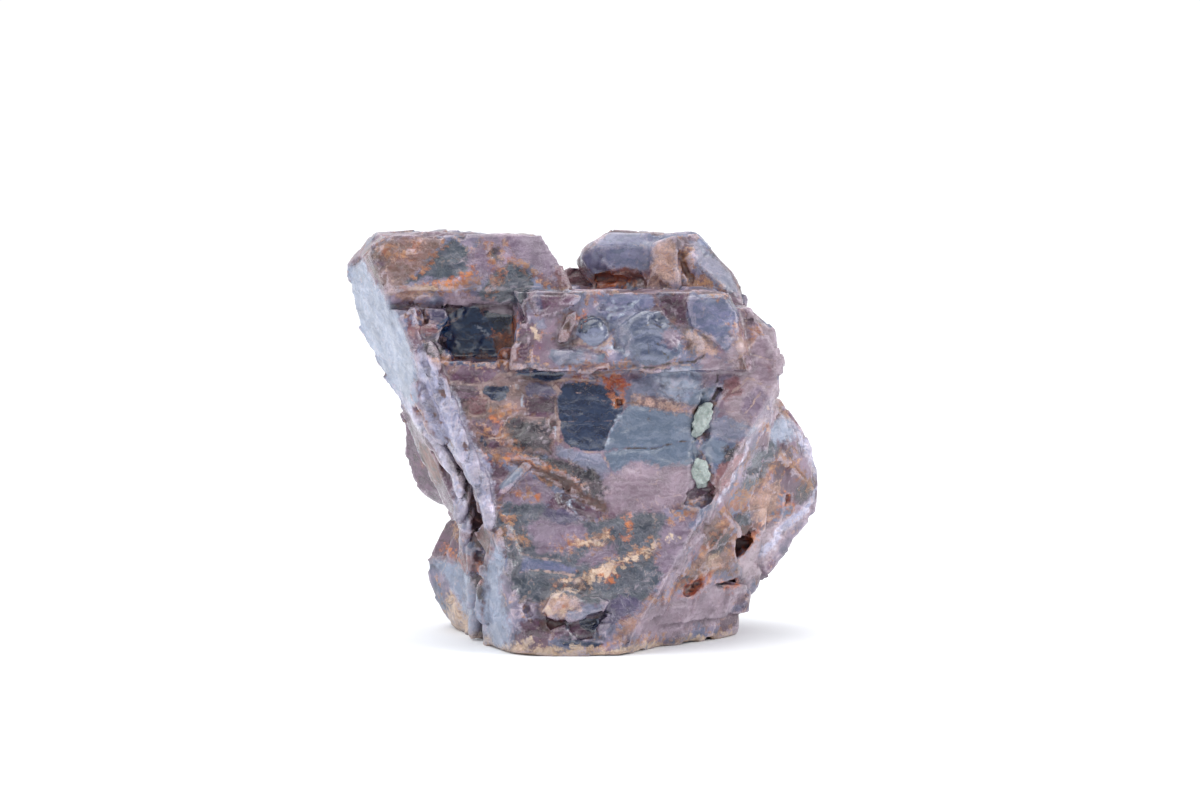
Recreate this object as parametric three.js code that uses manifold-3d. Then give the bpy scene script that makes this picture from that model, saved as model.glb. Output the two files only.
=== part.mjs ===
// Spinel crystal specimen: octahedra of spinel grown together in nearly parallel positions, with two grains of a
// pale green mineral held in an open fissure of the front face. Millimetres, +Z up, resting on its flat broken base.
import * as THREE from "three";
import { ConvexGeometry } from "three/addons/geometries/ConvexGeometry.js";
import { mergeVertices } from "three/addons/utils/BufferGeometryUtils.js";
import Module from "manifold-3d";

const wasm = await Module();
wasm.setup();

// Driving dimensions. The modelling frame has the lowest front corner of the main crystal at FRONT_CORNER.
const SPECIMEN_TOP = 42.2;
const MAIN_TOP = 34.6;
const CAP_TOP = 36.4;
const CAP_FOOT = 28.4;
const POCKET_FLOOR = 29.3;
const FISSURE_WIDTH = 1.9;
const FISSURE_DEPTH = 2.2;
const GRAIN_GAP = 0.3;
const FRONT_CORNER = [-7, 0, 0];
const FACE_LEAN = THREE.MathUtils.radToDeg(Math.asin(1 / 3));

// Outward normals as [azimuth, elevation] in degrees. Azimuth 0 faces the viewer, down -Y, and 90 faces +X.
// Together they are an octahedron lying on one of its faces; the front and the left grew a little out of true.
const FACE = {
  top: [0, 90],
  bottom: [0, -90],
  front: [2, 16.5],
  left: [-66, -17],
  right: [60, -FACE_LEAN],
  back: [180, -FACE_LEAN],
  backRight: [120, FACE_LEAN],
  backLeft: [-120, FACE_LEAN],
};
const { top, bottom, front, left, right, back, backRight, backLeft } = FACE;

function normalOf([azimuth, elevation]) {
  const a = THREE.MathUtils.degToRad(azimuth);
  const e = THREE.MathUtils.degToRad(elevation);
  return new THREE.Vector3(Math.sin(a) * Math.cos(e), -Math.cos(a) * Math.cos(e), Math.sin(e));
}

function wall(face, x, y, z) {
  return new THREE.Plane().setFromNormalAndCoplanarPoint(normalOf(face), new THREE.Vector3(x, y, z));
}

function corner(a, b, c) {
  const normals = new THREE.Matrix3().set(
    a.normal.x, a.normal.y, a.normal.z,
    b.normal.x, b.normal.y, b.normal.z,
    c.normal.x, c.normal.y, c.normal.z,
  );
  if (Math.abs(normals.determinant()) < 1e-4) return null;
  return new THREE.Vector3(-a.constant, -b.constant, -c.constant).applyMatrix3(normals.invert());
}

function solid(geometry) {
  const bare = geometry.clone();
  bare.deleteAttribute("normal");
  bare.deleteAttribute("uv");
  const merged = mergeVertices(bare, 1e-4);
  return new wasm.Manifold(
    new wasm.Mesh({
      numProp: 3,
      vertProperties: new Float32Array(merged.attributes.position.array),
      triVerts: new Uint32Array(merged.index.array),
    }),
  );
}

// The convex solid inside a list of walls, each [face, x, y, z] with a point that the face goes through.
function crystal(...walls) {
  const planes = walls.map((w) => wall(...w));
  const corners = [];
  planes.forEach((a, i) =>
    planes.slice(i + 1).forEach((b, j) =>
      planes.slice(i + j + 2).forEach((c) => {
        const p = corner(a, b, c);
        if (p && planes.every((q) => q.distanceToPoint(p) < 1e-4)) corners.push(p);
      }),
    ),
  );
  return solid(new ConvexGeometry(corners));
}

// A regular octahedron in the specimen's own orientation, by its centre and the distance to its faces.
function octahedron([x, y, z], reach) {
  return crystal(
    ...Object.values(FACE).map((face) => {
      const p = normalOf(face).multiplyScalar(reach).add(new THREE.Vector3(x, y, z));
      return [face, p.x, p.y, p.z];
    }),
  );
}

// A broken or rounded piece: the convex hull of its corner points.
function chunk(...points) {
  return solid(new ConvexGeometry(points.map((p) => new THREE.Vector3(...p))));
}

// A prism whose outline lies on a face, from `under` below that face to `over` above it.
function prism(face, under, over, ...outline) {
  const n = normalOf(face);
  const shift = (p, d) => new THREE.Vector3(...p).addScaledVector(n, d);
  return solid(new ConvexGeometry(outline.flatMap((p) => [shift(p, -under), shift(p, over)])));
}

// A point of the main front face, by its x and z.
function onFront(x, z) {
  const n = normalOf(front);
  const [x0, y0, z0] = FRONT_CORNER;
  return [x, y0 - (n.x * (x - x0) + n.z * (z - z0)) / n.y, z];
}

// The two faces that close the left flank behind, above and below its outermost point.
const leftBackWalls = [[[-125, 5], -25.6, 21.4, 32.5], [[-125, -35], -25.6, 21.4, 32.5]];

// The crystals proper, each bounded by flat faces.
const mainCrystal = crystal(
  [top, 0, 10, MAIN_TOP], [bottom, 0, 0, 0], [front, ...FRONT_CORNER], [left, -11.1, 3.6, 13],
  [right, 11.9, 5.5, 16.4], [back, 0, 27, 12], [backRight, 17, 14, 27], [[-95, -37], -21.1, 17, 23.3],
  ...leftBackWalls, [[100, -5], 17, 14, 20],
);
const upperLeftCrystal = crystal(
  [top, 0, 10, SPECIMEN_TOP], [[2, -35], -15, 10.8, 36.3], [front, -20, 12, SPECIMEN_TOP],
  [left, -11.1, 3.6, 13], [[-80, 42], -24.3, 13, 40.2], [backRight, -5.7, 12, SPECIMEN_TOP],
  [back, -12, 29, 38], ...leftBackWalls,
);
const capCrystal = crystal(
  [top, 0, 9, CAP_TOP], [bottom, 0, 9, CAP_FOOT], [[1, 15], 0, 8.7, CAP_TOP], [[-78, -8], -8.2, 8, 36],
  [[72, 18], 14, 8.2, 33], [[100, 30], 14.6, 11, 33.5], [[40, 45], 13.2, 9, 35.8], [back, 0, 26, 33],
);

// Broken, rounded and lesser pieces around them.
const flanks = {
  rightShoulder: chunk(
    [15.2, 15, 34.9], [16.4, 14, 33.6], [18.1, 13, 32.3], [18.4, 13.2, 30.7], [18.3, 13.2, 25.5],
    [13.4, 10.2, 34.5], [14, 9.9, 26.5], [17, 11.4, 30.5], [17.4, 12.2, 25], [14.5, 22, 34], [16, 24, 26], [9, 24, 35],
  ),
  backTopLeft: chunk(
    [-1.9, 18.2, 39.7], [-1.4, 18.4, 40.8], [0.7, 18.8, 42.1], [6.5, 18.6, 42.2], [-0.8, 17.6, 40.6],
    [6.2, 17.2, 40.5], [-1, 17.6, 38], [5.8, 17, 37], [0.5, 19, 35.5], [6, 19, 35.5], [1, 25, 42.2], [7, 26, 42.2],
    [-2.6, 25, 39], [6, 27, 36],
  ),
  backTopMiddle: chunk(
    [5.6, 17, 41.2], [8, 17, 42], [8.8, 17.6, 41.6], [8.2, 16.6, 36.2], [4.8, 16.8, 36.2], [9, 25, 42.2],
    [6, 25, 42.2], [6, 26, 35], [9, 26, 35],
  ),
  backTopRight: chunk(
    [7.5, 18.6, 42.2], [10.3, 20, 42.2], [11.7, 20, 41], [12.9, 20, 39.2], [14.3, 20, 37.8], [15.4, 20, 35.2],
    [15, 17, 34.8], [9, 17.6, 40.4], [12.4, 17.6, 37], [9, 17, 35.5], [9, 27, 42.2], [13.6, 27, 38], [15.5, 26, 33],
  ),
  notchFill: chunk(
    [-4.2, 26, 38], [-3.2, 25.4, 38.4], [-1, 25.4, 38.6], [1.6, 26, 38.5], [-4.4, 24.8, 34], [1.5, 24.8, 34],
    [-4.6, 31, 37.4], [1, 31.5, 37.8], [-4, 32, 33], [1, 32, 33],
  ),
  rightWing: chunk(
    [19.2, 19, 24.8], [21.2, 19.6, 21.9], [22.3, 20, 19.8], [23.2, 20, 17.1], [23.3, 20, 15.5], [22.9, 20, 12.8],
    [21.2, 19, 10.6], [17.8, 17, 6.2], [15, 15.4, 3.2], [13.4, 12.2, 21.5], [17.2, 14.4, 24], [12.6, 10.8, 12],
    [20, 16.4, 18], [19.5, 26, 23], [21.8, 27, 17], [15, 26, 5], [12, 24, 26],
  ),
  rightToe: chunk(
    [12.4, 7.4, 15.3], [14, 9.8, 13.3], [14.8, 10.8, 10.2], [14.4, 11.6, 6.8], [10.3, 7.9, 5.6], [7.2, 6, 5.2],
    [9, 13, 15], [6, 12, 5],
  ),
  slabUpper: chunk(
    [4.4, 3.6, 4.8], [7.4, 5.6, 6], [10.3, 7.6, 6.2], [15.4, 13.6, 5.6], [15.8, 14.8, 4.6], [15.6, 15, 2.6],
    [2, 3, 2.4], [9, 7.4, 2.4], [0, 12, 5], [12, 24, 5], [12, 24, 2.5], [0, 12, 2],
  ),
  slabLower: chunk(
    [-1, 2.2, 0], [1, 4, 0], [8.3, 8.4, 0], [12.6, 13.2, 0], [14.2, 17, 0], [14.4, 15, 1.2], [14.4, 15, 2.8],
    [2, 2.9, 3], [8.6, 7.6, 3], [-1, 1.4, 2.5], [-2, 18, 0], [12, 26, 0], [12, 24, 3], [0, 14, 3],
  ),
  lowerLeftFoot: chunk(
    [-11, 4.6, 12.6], [-9.4, 3.4, 13], [-10, 8, 12.4], [-11.7, 5.2, 9.5], [-9.3, 2.7, 10], [-12.1, 6.2, 5.6],
    [-9.1, 1.5, 5.5], [-12, 8.5, 0], [-9, 1.8, 0], [-7.2, 0, 0.4], [-5, 0.2, 0], [-5.6, 1.7, 5.6], [-6, 5, 12],
    [-11.8, 13, 0], [-11.4, 12, 6],
  ),
  backRidge: chunk(
    [-20.2, 16.6, 23.6], [-21.3, 18.8, 23.2], [-17, 11.6, 20.2], [-15.6, 12.4, 17.6], [-14.2, 8.8, 16],
    [-15.2, 12, 14], [-13.9, 9.8, 13.4], [-13.6, 10.6, 11], [-14.6, 13.6, 11], [-12, 15, 24], [-9, 15, 11],
    [-18, 22, 22], [-13, 24, 14],
  ),
  backRidgeFoot: chunk(
    [-13.6, 10.6, 11.4], [-14.6, 13.6, 12], [-14.5, 14, 9], [-13.6, 12.4, 5], [-13.4, 14, 0], [-14.2, 19, 0],
    [-9, 14, 11], [-9, 12, 0], [-10, 26, 10], [-10, 26, 0], [-14.8, 21, 8],
  ),
  leftBackUpper: chunk(
    [-20.9, 23, 22.6], [-20.8, 24, 18.4], [-20.1, 23.4, 16.7], [-19.1, 23, 14.7], [-17.2, 23, 13.4],
    [-15.5, 22, 12.8], [-16, 16.5, 21], [-13.5, 16, 15], [-18, 30, 20], [-16, 30, 14.5], [-17, 27, 24], [-12, 30, 17],
  ),
  leftBackLower: chunk(
    [-15.4, 21.6, 12.2], [-16.6, 22, 11.3], [-17.7, 22, 8.9], [-18.3, 22, 7.2], [-18.2, 22, 5.1], [-17.6, 22, 3.3],
    [-16.4, 21.5, 1.2], [-15.5, 21.5, 0], [-13.6, 16, 0], [-14.4, 17, 8], [-13, 17, 11], [-13.5, 28, 0],
    [-14, 29, 9], [-16.4, 27, 4],
  ),
  knob: chunk(
    [-15, 14.6, 8.6], [-14.4, 12.8, 9.7], [-13, 12.2, 9.4], [-12.6, 12.2, 7.8], [-13.8, 12.4, 7], [-14.8, 14.6, 7.4],
    [-11, 17, 11], [-11, 17, 5],
  ),
};

// Smaller octahedra on the back, by centre and reach.
const backOctahedra = [
  [[-9, 25, 25], 6.5],
  [[8, 26, 17], 7.5],
  [[-4, 24, 8.5], 8.3],
  [[8.5, 24, 27], 6],
  [[0, 27, 28], 6],
  [[-14, 25, 33], 5],
];

// What broke away or stayed open.
const hollows = {
  pocket: chunk(
    [-17.4, 6, POCKET_FLOOR], [-8.3, 6, POCKET_FLOOR - 0.3], [-20, 6, 32.8], [-20.2, 6, 34.9], [-8.3, 6, 35.6],
    [-15.4, 14, POCKET_FLOOR], [-8.7, 14.4, POCKET_FLOOR], [-18.4, 12, 34.6], [-14.6, 14.8, 34.9], [-9, 15, 35.2],
  ),
  leftGroove: prism(
    left, 2.8, 3, [-18.7, 11.7, 24.8], [-16.3, 9.4, 20.4], [-12.9, 4.9, 16.7], [-11.9, 5.4, 13], [-13.5, 10.2, 11],
    [-13.9, 8.6, 16.1], [-16.9, 11.1, 20.3], [-19.4, 14, 24.1],
  ),
  wingHollow: chunk(
    [13.8, 9, 11.2], [16.6, 10, 10.8], [14.4, 9, 7.4], [13.8, 16, 10.6], [16, 16, 10.2], [14.4, 16, 8.4],
  ),
  underLip: prism(
    front, 1.2, 3, onFront(-5.4, 3.7), onFront(-3, 3.4), onFront(0.6, 4.4), onFront(0, 1.9), onFront(-4.6, 1.2),
  ),
};

// The fissure, zigzagging down the front face, and the two grains that it holds.
const fissurePath = [onFront(11.8, 26.4), onFront(10.5, 24.2), onFront(10.2, 21), onFront(10.3, 17.4), onFront(9.4, 15)];
const fissureParts = fissurePath.slice(1).map((end, i) => {
  const half = FISSURE_WIDTH / 2;
  const overlap = 0.2;
  const [x0, , z0] = fissurePath[i];
  const [x1, , z1] = end;
  const outline = [
    onFront(x0 - half, z0 + overlap), onFront(x0 + half, z0 + overlap),
    onFront(x1 + half, z1 - overlap), onFront(x1 - half, z1 - overlap),
  ];
  return prism(front, FISSURE_DEPTH, 2, ...outline);
});

function grain(middle, height) {
  const reach = FISSURE_WIDTH / 2 - GRAIN_GAP;
  const [x, , z] = middle;
  const up = height / 2;
  const outline = [
    [-0.8, 0.6], [-0.1, 1], [0.9, 0.8], [1, -0.2], [0.5, -0.9], [-0.5, -1], [-1, -0.3],
  ].map(([across, along]) => onFront(x + across * reach, z + along * up));
  return prism(front, FISSURE_DEPTH - GRAIN_GAP, 0.1, ...outline);
}

const bodyGrown = [mainCrystal, upperLeftCrystal, capCrystal, ...Object.values(flanks)]
  .concat(backOctahedra.map(([middle, reach]) => octahedron(middle, reach)))
  .reduce((sum, next) => sum.add(next));
const spinel = [...Object.values(hollows), ...fissureParts]
  .reduce((rest, cut) => rest.subtract(cut), bodyGrown)
  .trimByPlane([0, 0, 1], 0);

const shapes = {
  spinel_crystal: [spinel, { color: 0x7c7888, roughness: 0.35, metalness: 0 }],
  green_grain_upper: [grain(onFront(10.4, 23.4), 2.4), { color: 0xabb3b3, roughness: 0.55, metalness: 0 }],
  green_grain_lower: [grain(onFront(10.3, 18), 1.9), { color: 0xabb3b3, roughness: 0.55, metalness: 0 }],
};

function meshOf(name, shape, material) {
  const { vertProperties, triVerts } = shape.getMesh();
  const geometry = new THREE.BufferGeometry();
  geometry.setAttribute("position", new THREE.BufferAttribute(vertProperties, 3));
  geometry.setIndex(new THREE.BufferAttribute(triVerts, 1));
  const mesh = new THREE.Mesh(geometry, new THREE.MeshStandardMaterial(material));
  mesh.name = name;
  return mesh;
}

const specimen = new THREE.Group();
for (const [name, [shape, material]] of Object.entries(shapes)) specimen.add(meshOf(name, shape, material));

// The origin is under the middle of the specimen, on the surface that it stands on.
const bounds = new THREE.Box3().setFromObject(specimen);
specimen.position.set(-(bounds.min.x + bounds.max.x) / 2, -(bounds.min.y + bounds.max.y) / 2, -bounds.min.z);
specimen.updateMatrixWorld(true);
export default specimen;
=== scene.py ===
# Spinel crystal: parallel-grown octahedra on a flat broken base, with two green grains in the front fissure.
import math

import bpy
import numpy as np
from mathutils import Matrix, Vector, kdtree, noise


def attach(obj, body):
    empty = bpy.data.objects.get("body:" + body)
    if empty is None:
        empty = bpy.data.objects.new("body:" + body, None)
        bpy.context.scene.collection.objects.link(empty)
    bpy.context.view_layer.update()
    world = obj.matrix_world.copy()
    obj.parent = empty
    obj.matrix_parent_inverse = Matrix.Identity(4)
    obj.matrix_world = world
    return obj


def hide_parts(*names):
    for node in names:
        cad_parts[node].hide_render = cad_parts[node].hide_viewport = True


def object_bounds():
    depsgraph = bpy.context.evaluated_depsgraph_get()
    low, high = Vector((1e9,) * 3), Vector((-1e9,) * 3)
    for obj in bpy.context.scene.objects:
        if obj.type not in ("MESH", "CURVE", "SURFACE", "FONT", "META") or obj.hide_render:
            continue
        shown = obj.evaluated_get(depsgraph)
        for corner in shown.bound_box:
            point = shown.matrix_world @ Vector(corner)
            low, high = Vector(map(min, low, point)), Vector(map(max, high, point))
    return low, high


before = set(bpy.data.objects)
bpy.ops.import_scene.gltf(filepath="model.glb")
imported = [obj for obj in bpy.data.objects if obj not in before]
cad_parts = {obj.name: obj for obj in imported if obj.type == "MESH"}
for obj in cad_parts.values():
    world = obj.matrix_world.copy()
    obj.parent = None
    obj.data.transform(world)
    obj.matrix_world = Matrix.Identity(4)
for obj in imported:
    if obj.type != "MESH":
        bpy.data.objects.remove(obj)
cadLow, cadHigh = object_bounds()

noise.seed_set(11)      # without a seed the noise is new each run

# Shapes are modelled in mm, measured from the foot of the front face, and brought to metres at the end.
modelScale = 1000.0
frontFoot = Vector((cadLow[0] + 0.02663, cadLow[1], cadLow[2]))


def place(x, y, z):
    return Vector((x, y, z)) / modelScale + frontFoot


def facing(azimuth, elevation):
    # 0 degrees looks out of the front, 90 to the right
    a, e = math.radians(azimuth), math.radians(elevation)
    return Vector((math.sin(a) * math.cos(e), -math.cos(a) * math.cos(e), math.sin(e)))


faces = {
    "front": {"normal": facing(2, 16.5), "point": Vector((-7, 0, 0))},
    "cap": {"normal": facing(1, 15), "point": Vector((0, 8.7, 36.4))},
    "left": {"normal": facing(-66, -17), "point": Vector((-11.1, 3.6, 13))},
    "right": {"normal": facing(60, -19.5), "point": Vector((11.9, 5.5, 16.4))},
}


def onFace(face, x, z, out=0.0):
    # the point of a face at this x and z, lifted off it by out
    n, p = faces[face]["normal"], faces[face]["point"]
    y = p.y - (n.x * (x - p.x) + n.z * (z - p.z)) / n.y
    return Vector((x, y, z)) + n * out


def deselectAll():
    if bpy.context.object and bpy.context.object.mode != "OBJECT":
        bpy.ops.object.mode_set(mode="OBJECT")
    bpy.ops.object.select_all(action="DESELECT")


def pick(*pieces):
    deselectAll()
    for piece in pieces:
        piece.select_set(True)
    bpy.context.view_layer.objects.active = pieces[0]
    return pieces[0]


def copyNode(node, name):
    source = bpy.data.objects[node]
    mesh = source.data.copy()
    piece = bpy.data.objects.new(name, mesh)
    bpy.context.scene.collection.objects.link(piece)
    mesh.materials.clear()
    mesh.transform(Matrix.Scale(modelScale, 4) @ Matrix.Translation(-frontFoot))
    pick(piece)
    bpy.ops.object.mode_set(mode="EDIT")
    bpy.ops.mesh.select_all(action="SELECT")
    bpy.ops.mesh.remove_doubles(threshold=0.001)
    bpy.ops.object.mode_set(mode="OBJECT")
    return piece


def turnTo(normal, along):
    # axes of a piece: X along, Z out of the face
    z = normal.normalized()
    x = (along - z * along.dot(z)).normalized()
    return Matrix((x, z.cross(x), z)).transposed().to_4x4()


def settle(piece, centre, normal, along):
    piece.matrix_world = Matrix.Translation(centre) @ turnTo(normal, along)
    pick(piece)
    bpy.ops.object.transform_apply(location=True, rotation=True, scale=True)
    return piece


def pointsOf(text):
    # "x,z x,z ..." or "x,y,z x,y,z ..." in mm, as a list of points
    return [tuple(float(number) for number in point.split(",")) for point in text.split()]


def slanted(degrees):
    # a direction in the front plane, turned up from the right
    return Vector((math.cos(math.radians(degrees)), 0, math.sin(math.radians(degrees))))


def lump(centre, size, normal, along):
    # a rounded swelling or a conchoidal scoop
    deselectAll()
    bpy.ops.mesh.primitive_uv_sphere_add(segments=28, ring_count=18, radius=1.0)
    piece = bpy.context.object
    piece.name = "lump"
    piece.scale = size
    bpy.ops.object.transform_apply(location=False, rotation=False, scale=True)
    return settle(piece, centre, normal, along)


def plate(face, outline, low, high):
    # a flat broken plate lying on a face: outline of (x, z), from low to high along the face's normal
    n = faces[face]["normal"]
    mesh = bpy.data.meshes.new("plate")
    mesh.from_pydata([onFace(face, x, z, low) for x, z in outline], [], [list(range(len(outline)))])
    piece = bpy.data.objects.new("plate", mesh)
    bpy.context.scene.collection.objects.link(piece)
    pick(piece)
    bpy.ops.object.mode_set(mode="EDIT")
    bpy.ops.mesh.select_all(action="SELECT")
    bpy.ops.mesh.extrude_region_move(TRANSFORM_OT_translate={"value": n * (high - low)})
    bpy.ops.mesh.select_all(action="SELECT")
    bpy.ops.mesh.normals_make_consistent(inside=False)
    bpy.ops.object.mode_set(mode="OBJECT")
    return piece


ridgeNormal = Vector((-0.8, -0.6, 0.1))      # the ribs stand out to the front and left


def ridge(points, wide, high):
    # a low raised rib that follows a line of points
    parts = []
    for a, b in zip(points, points[1:]):
        a, b = Vector(a), Vector(b)
        along = b - a
        size = (along.length / 2 + wide, wide, high)
        parts.append(lump((a + b) / 2, size, ridgeNormal, along))
    return parts


def joinAll(target, pieces):
    pick(target, *pieces)
    bpy.ops.object.join()
    return target


def carve(target, cutter):
    cut = target.modifiers.new("carve", "BOOLEAN")
    cut.operation = "DIFFERENCE"
    cut.solver = "EXACT"
    cut.object = cutter
    pick(target)
    bpy.ops.object.modifier_apply(modifier=cut.name)
    bpy.data.objects.remove(cutter)


# The cluster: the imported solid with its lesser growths, plates, scoops and holes.
clusterSettings = {
    "voxel": 0.34,         # mm, fine enough for the chips
    "growths": [           # face, x, z, out, size, degrees turned in the face
        ("cap", 5.4, 31.4, -0.3, (4.0, 2.4, 1.5), -14),      # big conchoidal swelling
        ("cap", 4.2, 33.0, -0.1, (1.9, 1.3, 1.1), 20),
        ("cap", 3.2, 30.9, -0.2, (1.2, 1.2, 0.9), 0),
        ("cap", -0.8, 32.4, -0.1, (1.6, 1.35, 1.0), 20),     # small blue swelling
        ("cap", -2.2, 29.9, -0.4, (3.1, 0.8, 0.9), -6),
        ("cap", 0.9, 30.6, -0.2, (0.8, 0.7, 0.6), 0),
        ("cap", 9.7, 31.4, -0.2, (1.1, 1.5, 0.8), 20),
        ("cap", -6.0, 35.0, -0.3, (1.4, 1.0, 0.7), 30),
        ("front", 7.4, 27.6, -0.4, (2.8, 1.2, 1.0), -12),
        ("front", -4.2, 4.9, -0.3, (1.3, 0.8, 1.2), 30),     # lumps on the lip
        ("front", -2.4, 5.2, -0.3, (1.5, 0.9, 1.3), 12),
        ("front", -0.7, 5.0, -0.3, (1.2, 0.6, 0.9), 25),
        ("front", 9.2, 21.4, -0.9, (1.7, 0.55, 1.0), 94),    # the fissure closes between its grains
        ("front", 11.0, 20.6, -1.0, (1.6, 0.55, 1.0), 84),
        ("front", 11.3, 26.1, -1.0, (1.0, 0.6, 1.0), 50),
        ("front", 12.2, 25.4, -1.2, (1.2, 0.6, 1.0), 60),
        ("front", 9.3, 19.4, -1.0, (1.0, 0.6, 1.0), 90),
        ("front", 11.3, 18.4, -1.0, (1.3, 0.6, 1.0), 90),
        ("front", 9.2, 23.4, -0.8, (1.6, 0.6, 0.8), 84),
        ("front", 11.6, 23.2, -1.0, (1.8, 0.7, 1.0), 78),
        ("front", 10.3, 21.0, -1.15, (1.1, 0.9, 1.0), 84),
        ("front", 10.9, 19.6, -1.25, (0.9, 0.8, 1.0), 70),
        ("front", 9.2, 17.4, -0.8, (1.2, 0.5, 0.8), 90),
        ("front", -16.0, 30.0, -1.4, (1.0, 0.8, 1.0), 0),    # lumps in the pocket
        ("front", -17.2, 30.6, -1.2, (1.0, 0.9, 1.0), 40),
        ("front", -9.4, 30.3, -3.0, (1.0, 1.2, 1.6), 60),
    ],
    "plates": [            # face, low, high, outline
        ("front", -6, -0.9, "-20.8,34.6 -19,35.2 -18.2,34 -18.6,32.6 -19.1,31 -19.9,32.4"),
        ("front", -6, -1.0, "-18,34.9 -16,34.9 -15.5,33.9 -16.2,33 -17.5,33.3"),
        ("front", -6, -0.6, "-18.5,32.9 -17.4,33.3 -16.1,33 -16.6,31.8 -17.6,29.2 -18.6,29.2"),
        ("cap", -1, 0.35, "-7.2,36 -1.9,36 -2.4,35 -4.6,34.1 -6.7,34.6"),
        ("cap", -1, 0.5, "8.8,35.8 12.8,35.9 14,34.2 14.2,32.4 12.6,30.6 11.4,31.5 9.4,32.9"),
        ("cap", -1, 0.55, "-3.3,34 -2.5,34.3 -2.4,33.4 -3.4,31.4 -4.3,31.2 -4.2,32.2"),
        ("cap", -3, -0.2, "-8.3,33.6 -9.3,28.6 -7,28.6 -7,33.6"),
        ("front", -3, -0.5, "-5.8,4.3 0.8,4.7 0.6,1.6 -4.8,0.8"),
        ("front", -3, -0.1, "-5.8,2.4 -3.4,3.1 -1.6,0.8 -5.6,0.6"),
        ("front", -3, -1.0, "10.9,26.6 12.8,26.2 11.6,24.2 11.3,21 11.4,17.4 10.4,14.8 8.5,15.2 9.1,17.4 "
         "9.1,21 9.4,24.4"),
        ("front", -1, 0.1, "3.1,27.4 5.1,28.3 10.1,28.3 10.3,26.8 9.6,25.6 6.2,25.4 3.5,25.4"),
        ("front", -1, 0.45, "-10.4,16 -9.2,17.6 -7.6,19 -7.1,18.7 -8.4,17.5 -9.6,16"),
        ("front", -1, 0.7, "-5.9,4.2 -4.9,5.9 -3.1,6.5 -0.4,5.7 0.9,5.2 0.2,4.3 -2.4,3.6 -4.4,3.5"),
    ],
    "ribs": [              # half width, height, points
        (0.9, 0.5, "-19.4,15.2,24.1 -18.6,13.6,22.6 -16.9,11.1,20.3 -14.9,8.3,18 -14.2,8,16 -13.9,9.3,13.6 "
         "-13.6,10.2,11"),
        (0.8, 0.5, "-13.6,10.6,10.6 -13,11.6,7.6 -13.2,11.9,4.2 -12.8,12.4,1"),
        (0.7, 0.4, "-10.9,3.8,12.6 -9.6,2.9,10.4 -9.1,2.3,7.6 -8.6,1.4,4.4"),
    ],
    "crest": "-17.9,30.4 -16.6,27.6 -15.5,25 -14.8,22.6 -13.8,20.2 -12.5,17.8 -11.7,15.6 -11.3,13.4",
    "crestSize": (1.2, 0.55),     # half width, height
    "scoops": [            # as the growths
        ("front", -2.4, 15.0, 0.8, (3.3, 1.3, 1.2), -32),    # purple hollow
        ("front", -7.2, 18.8, 0.5, (2.8, 0.7, 1.0), -14),    # the diagonal break
        ("front", -3.6, 17.2, 0.4, (3.0, 0.6, 0.8), -26),
        ("front", -1.2, 15.7, 0.4, (2.3, 0.6, 0.8), -36),
        ("front", -2.2, 2.9, 0.2, (3.3, 0.7, 1.3), 8),       # under the lip
        ("front", 2.0, 25.2, 0.0, (0.42, 0.36, 0.9), 0),     # pin holes
        ("front", -4.8, 23.1, 0.0, (0.42, 0.42, 0.6), 0),
        ("front", -7.3, 4.7, 0.2, (0.7, 0.9, 0.9), 0),
        ("front", -8.9, 22.6, 0.45, (2.6, 1.4, 0.8), 40),
        ("front", 10.8, 16.3, -0.2, (0.8, 1.4, 1.5), 10),    # dark recess at the fissure's foot
        ("front", 10.3, 15.2, -0.2, (1.2, 0.6, 1.1), 20),
        ("cap", -8.5, 36.6, 0.3, (0.9, 1.6, 1.6), 20),       # worn corners of the cap
        ("cap", 1.9, 34.6, 0.5, (1.8, 0.6, 0.7), 12),        # chips along the cap's upper edge
        ("cap", 6.9, 34.4, 0.4, (1.4, 0.5, 0.8), -50),
        ("cap", 0.2, 34.9, 0.3, (0.6, 0.5, 0.8), 0),
    ],
    # swellings that close the deep gap beside the left crest
    "fills": [             # x, z, size, degrees turned
        (-18.1, 25.2, (2.4, 1.2, 0.7), -60),
        (-17.0, 23.0, (2.6, 1.2, 0.8), -60),
        (-15.9, 20.8, (2.6, 1.3, 0.9), -60),
        (-15.0, 18.8, (2.6, 1.4, 1.3), -62),
        (-14.2, 16.8, (2.4, 1.4, 1.5), -66),
        (-13.4, 14.8, (2.4, 1.4, 1.5), -70),
        (-12.9, 12.8, (2.4, 1.4, 1.5), -78),
        (-12.4, 10.6, (2.2, 1.3, 1.2), -84),
        (-12.0, 7.8, (2.4, 1.1, 0.9), -86),
        (-11.9, 4.8, (2.4, 1.1, 0.9), -88),
    ],
    # holes put where a straight look from the front meets the mass
    "pits": [              # x, z, out, size, degrees turned
        (9.9, 6.0, 0.1, (1.35, 0.5, 1.3), 24),
        (9.2, 5.8, 0.2, (0.6, 0.5, 1.0), 24),
        (13.4, 6.1, 0.1, (0.9, 0.45, 1.0), 20),
        (19.7, 14.2, 0.1, (0.75, 0.5, 0.8), 60),
        (14.9, 10.6, 0.3, (1.3, 0.5, 0.9), 62),
        (1.1, 37.3, 0.2, (1.9, 0.6, 0.9), 4),
        (9.0, 38.6, 0.2, (1.9, 0.5, 0.9), -66),
    ],
}


def seenAt(piece, x, z):
    # where a straight look from the front meets the piece, and the normal there
    _, hit, normal, _ = piece.ray_cast(Vector((x, -60, z)), Vector((0, 1, 0)))
    return hit, normal


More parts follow.
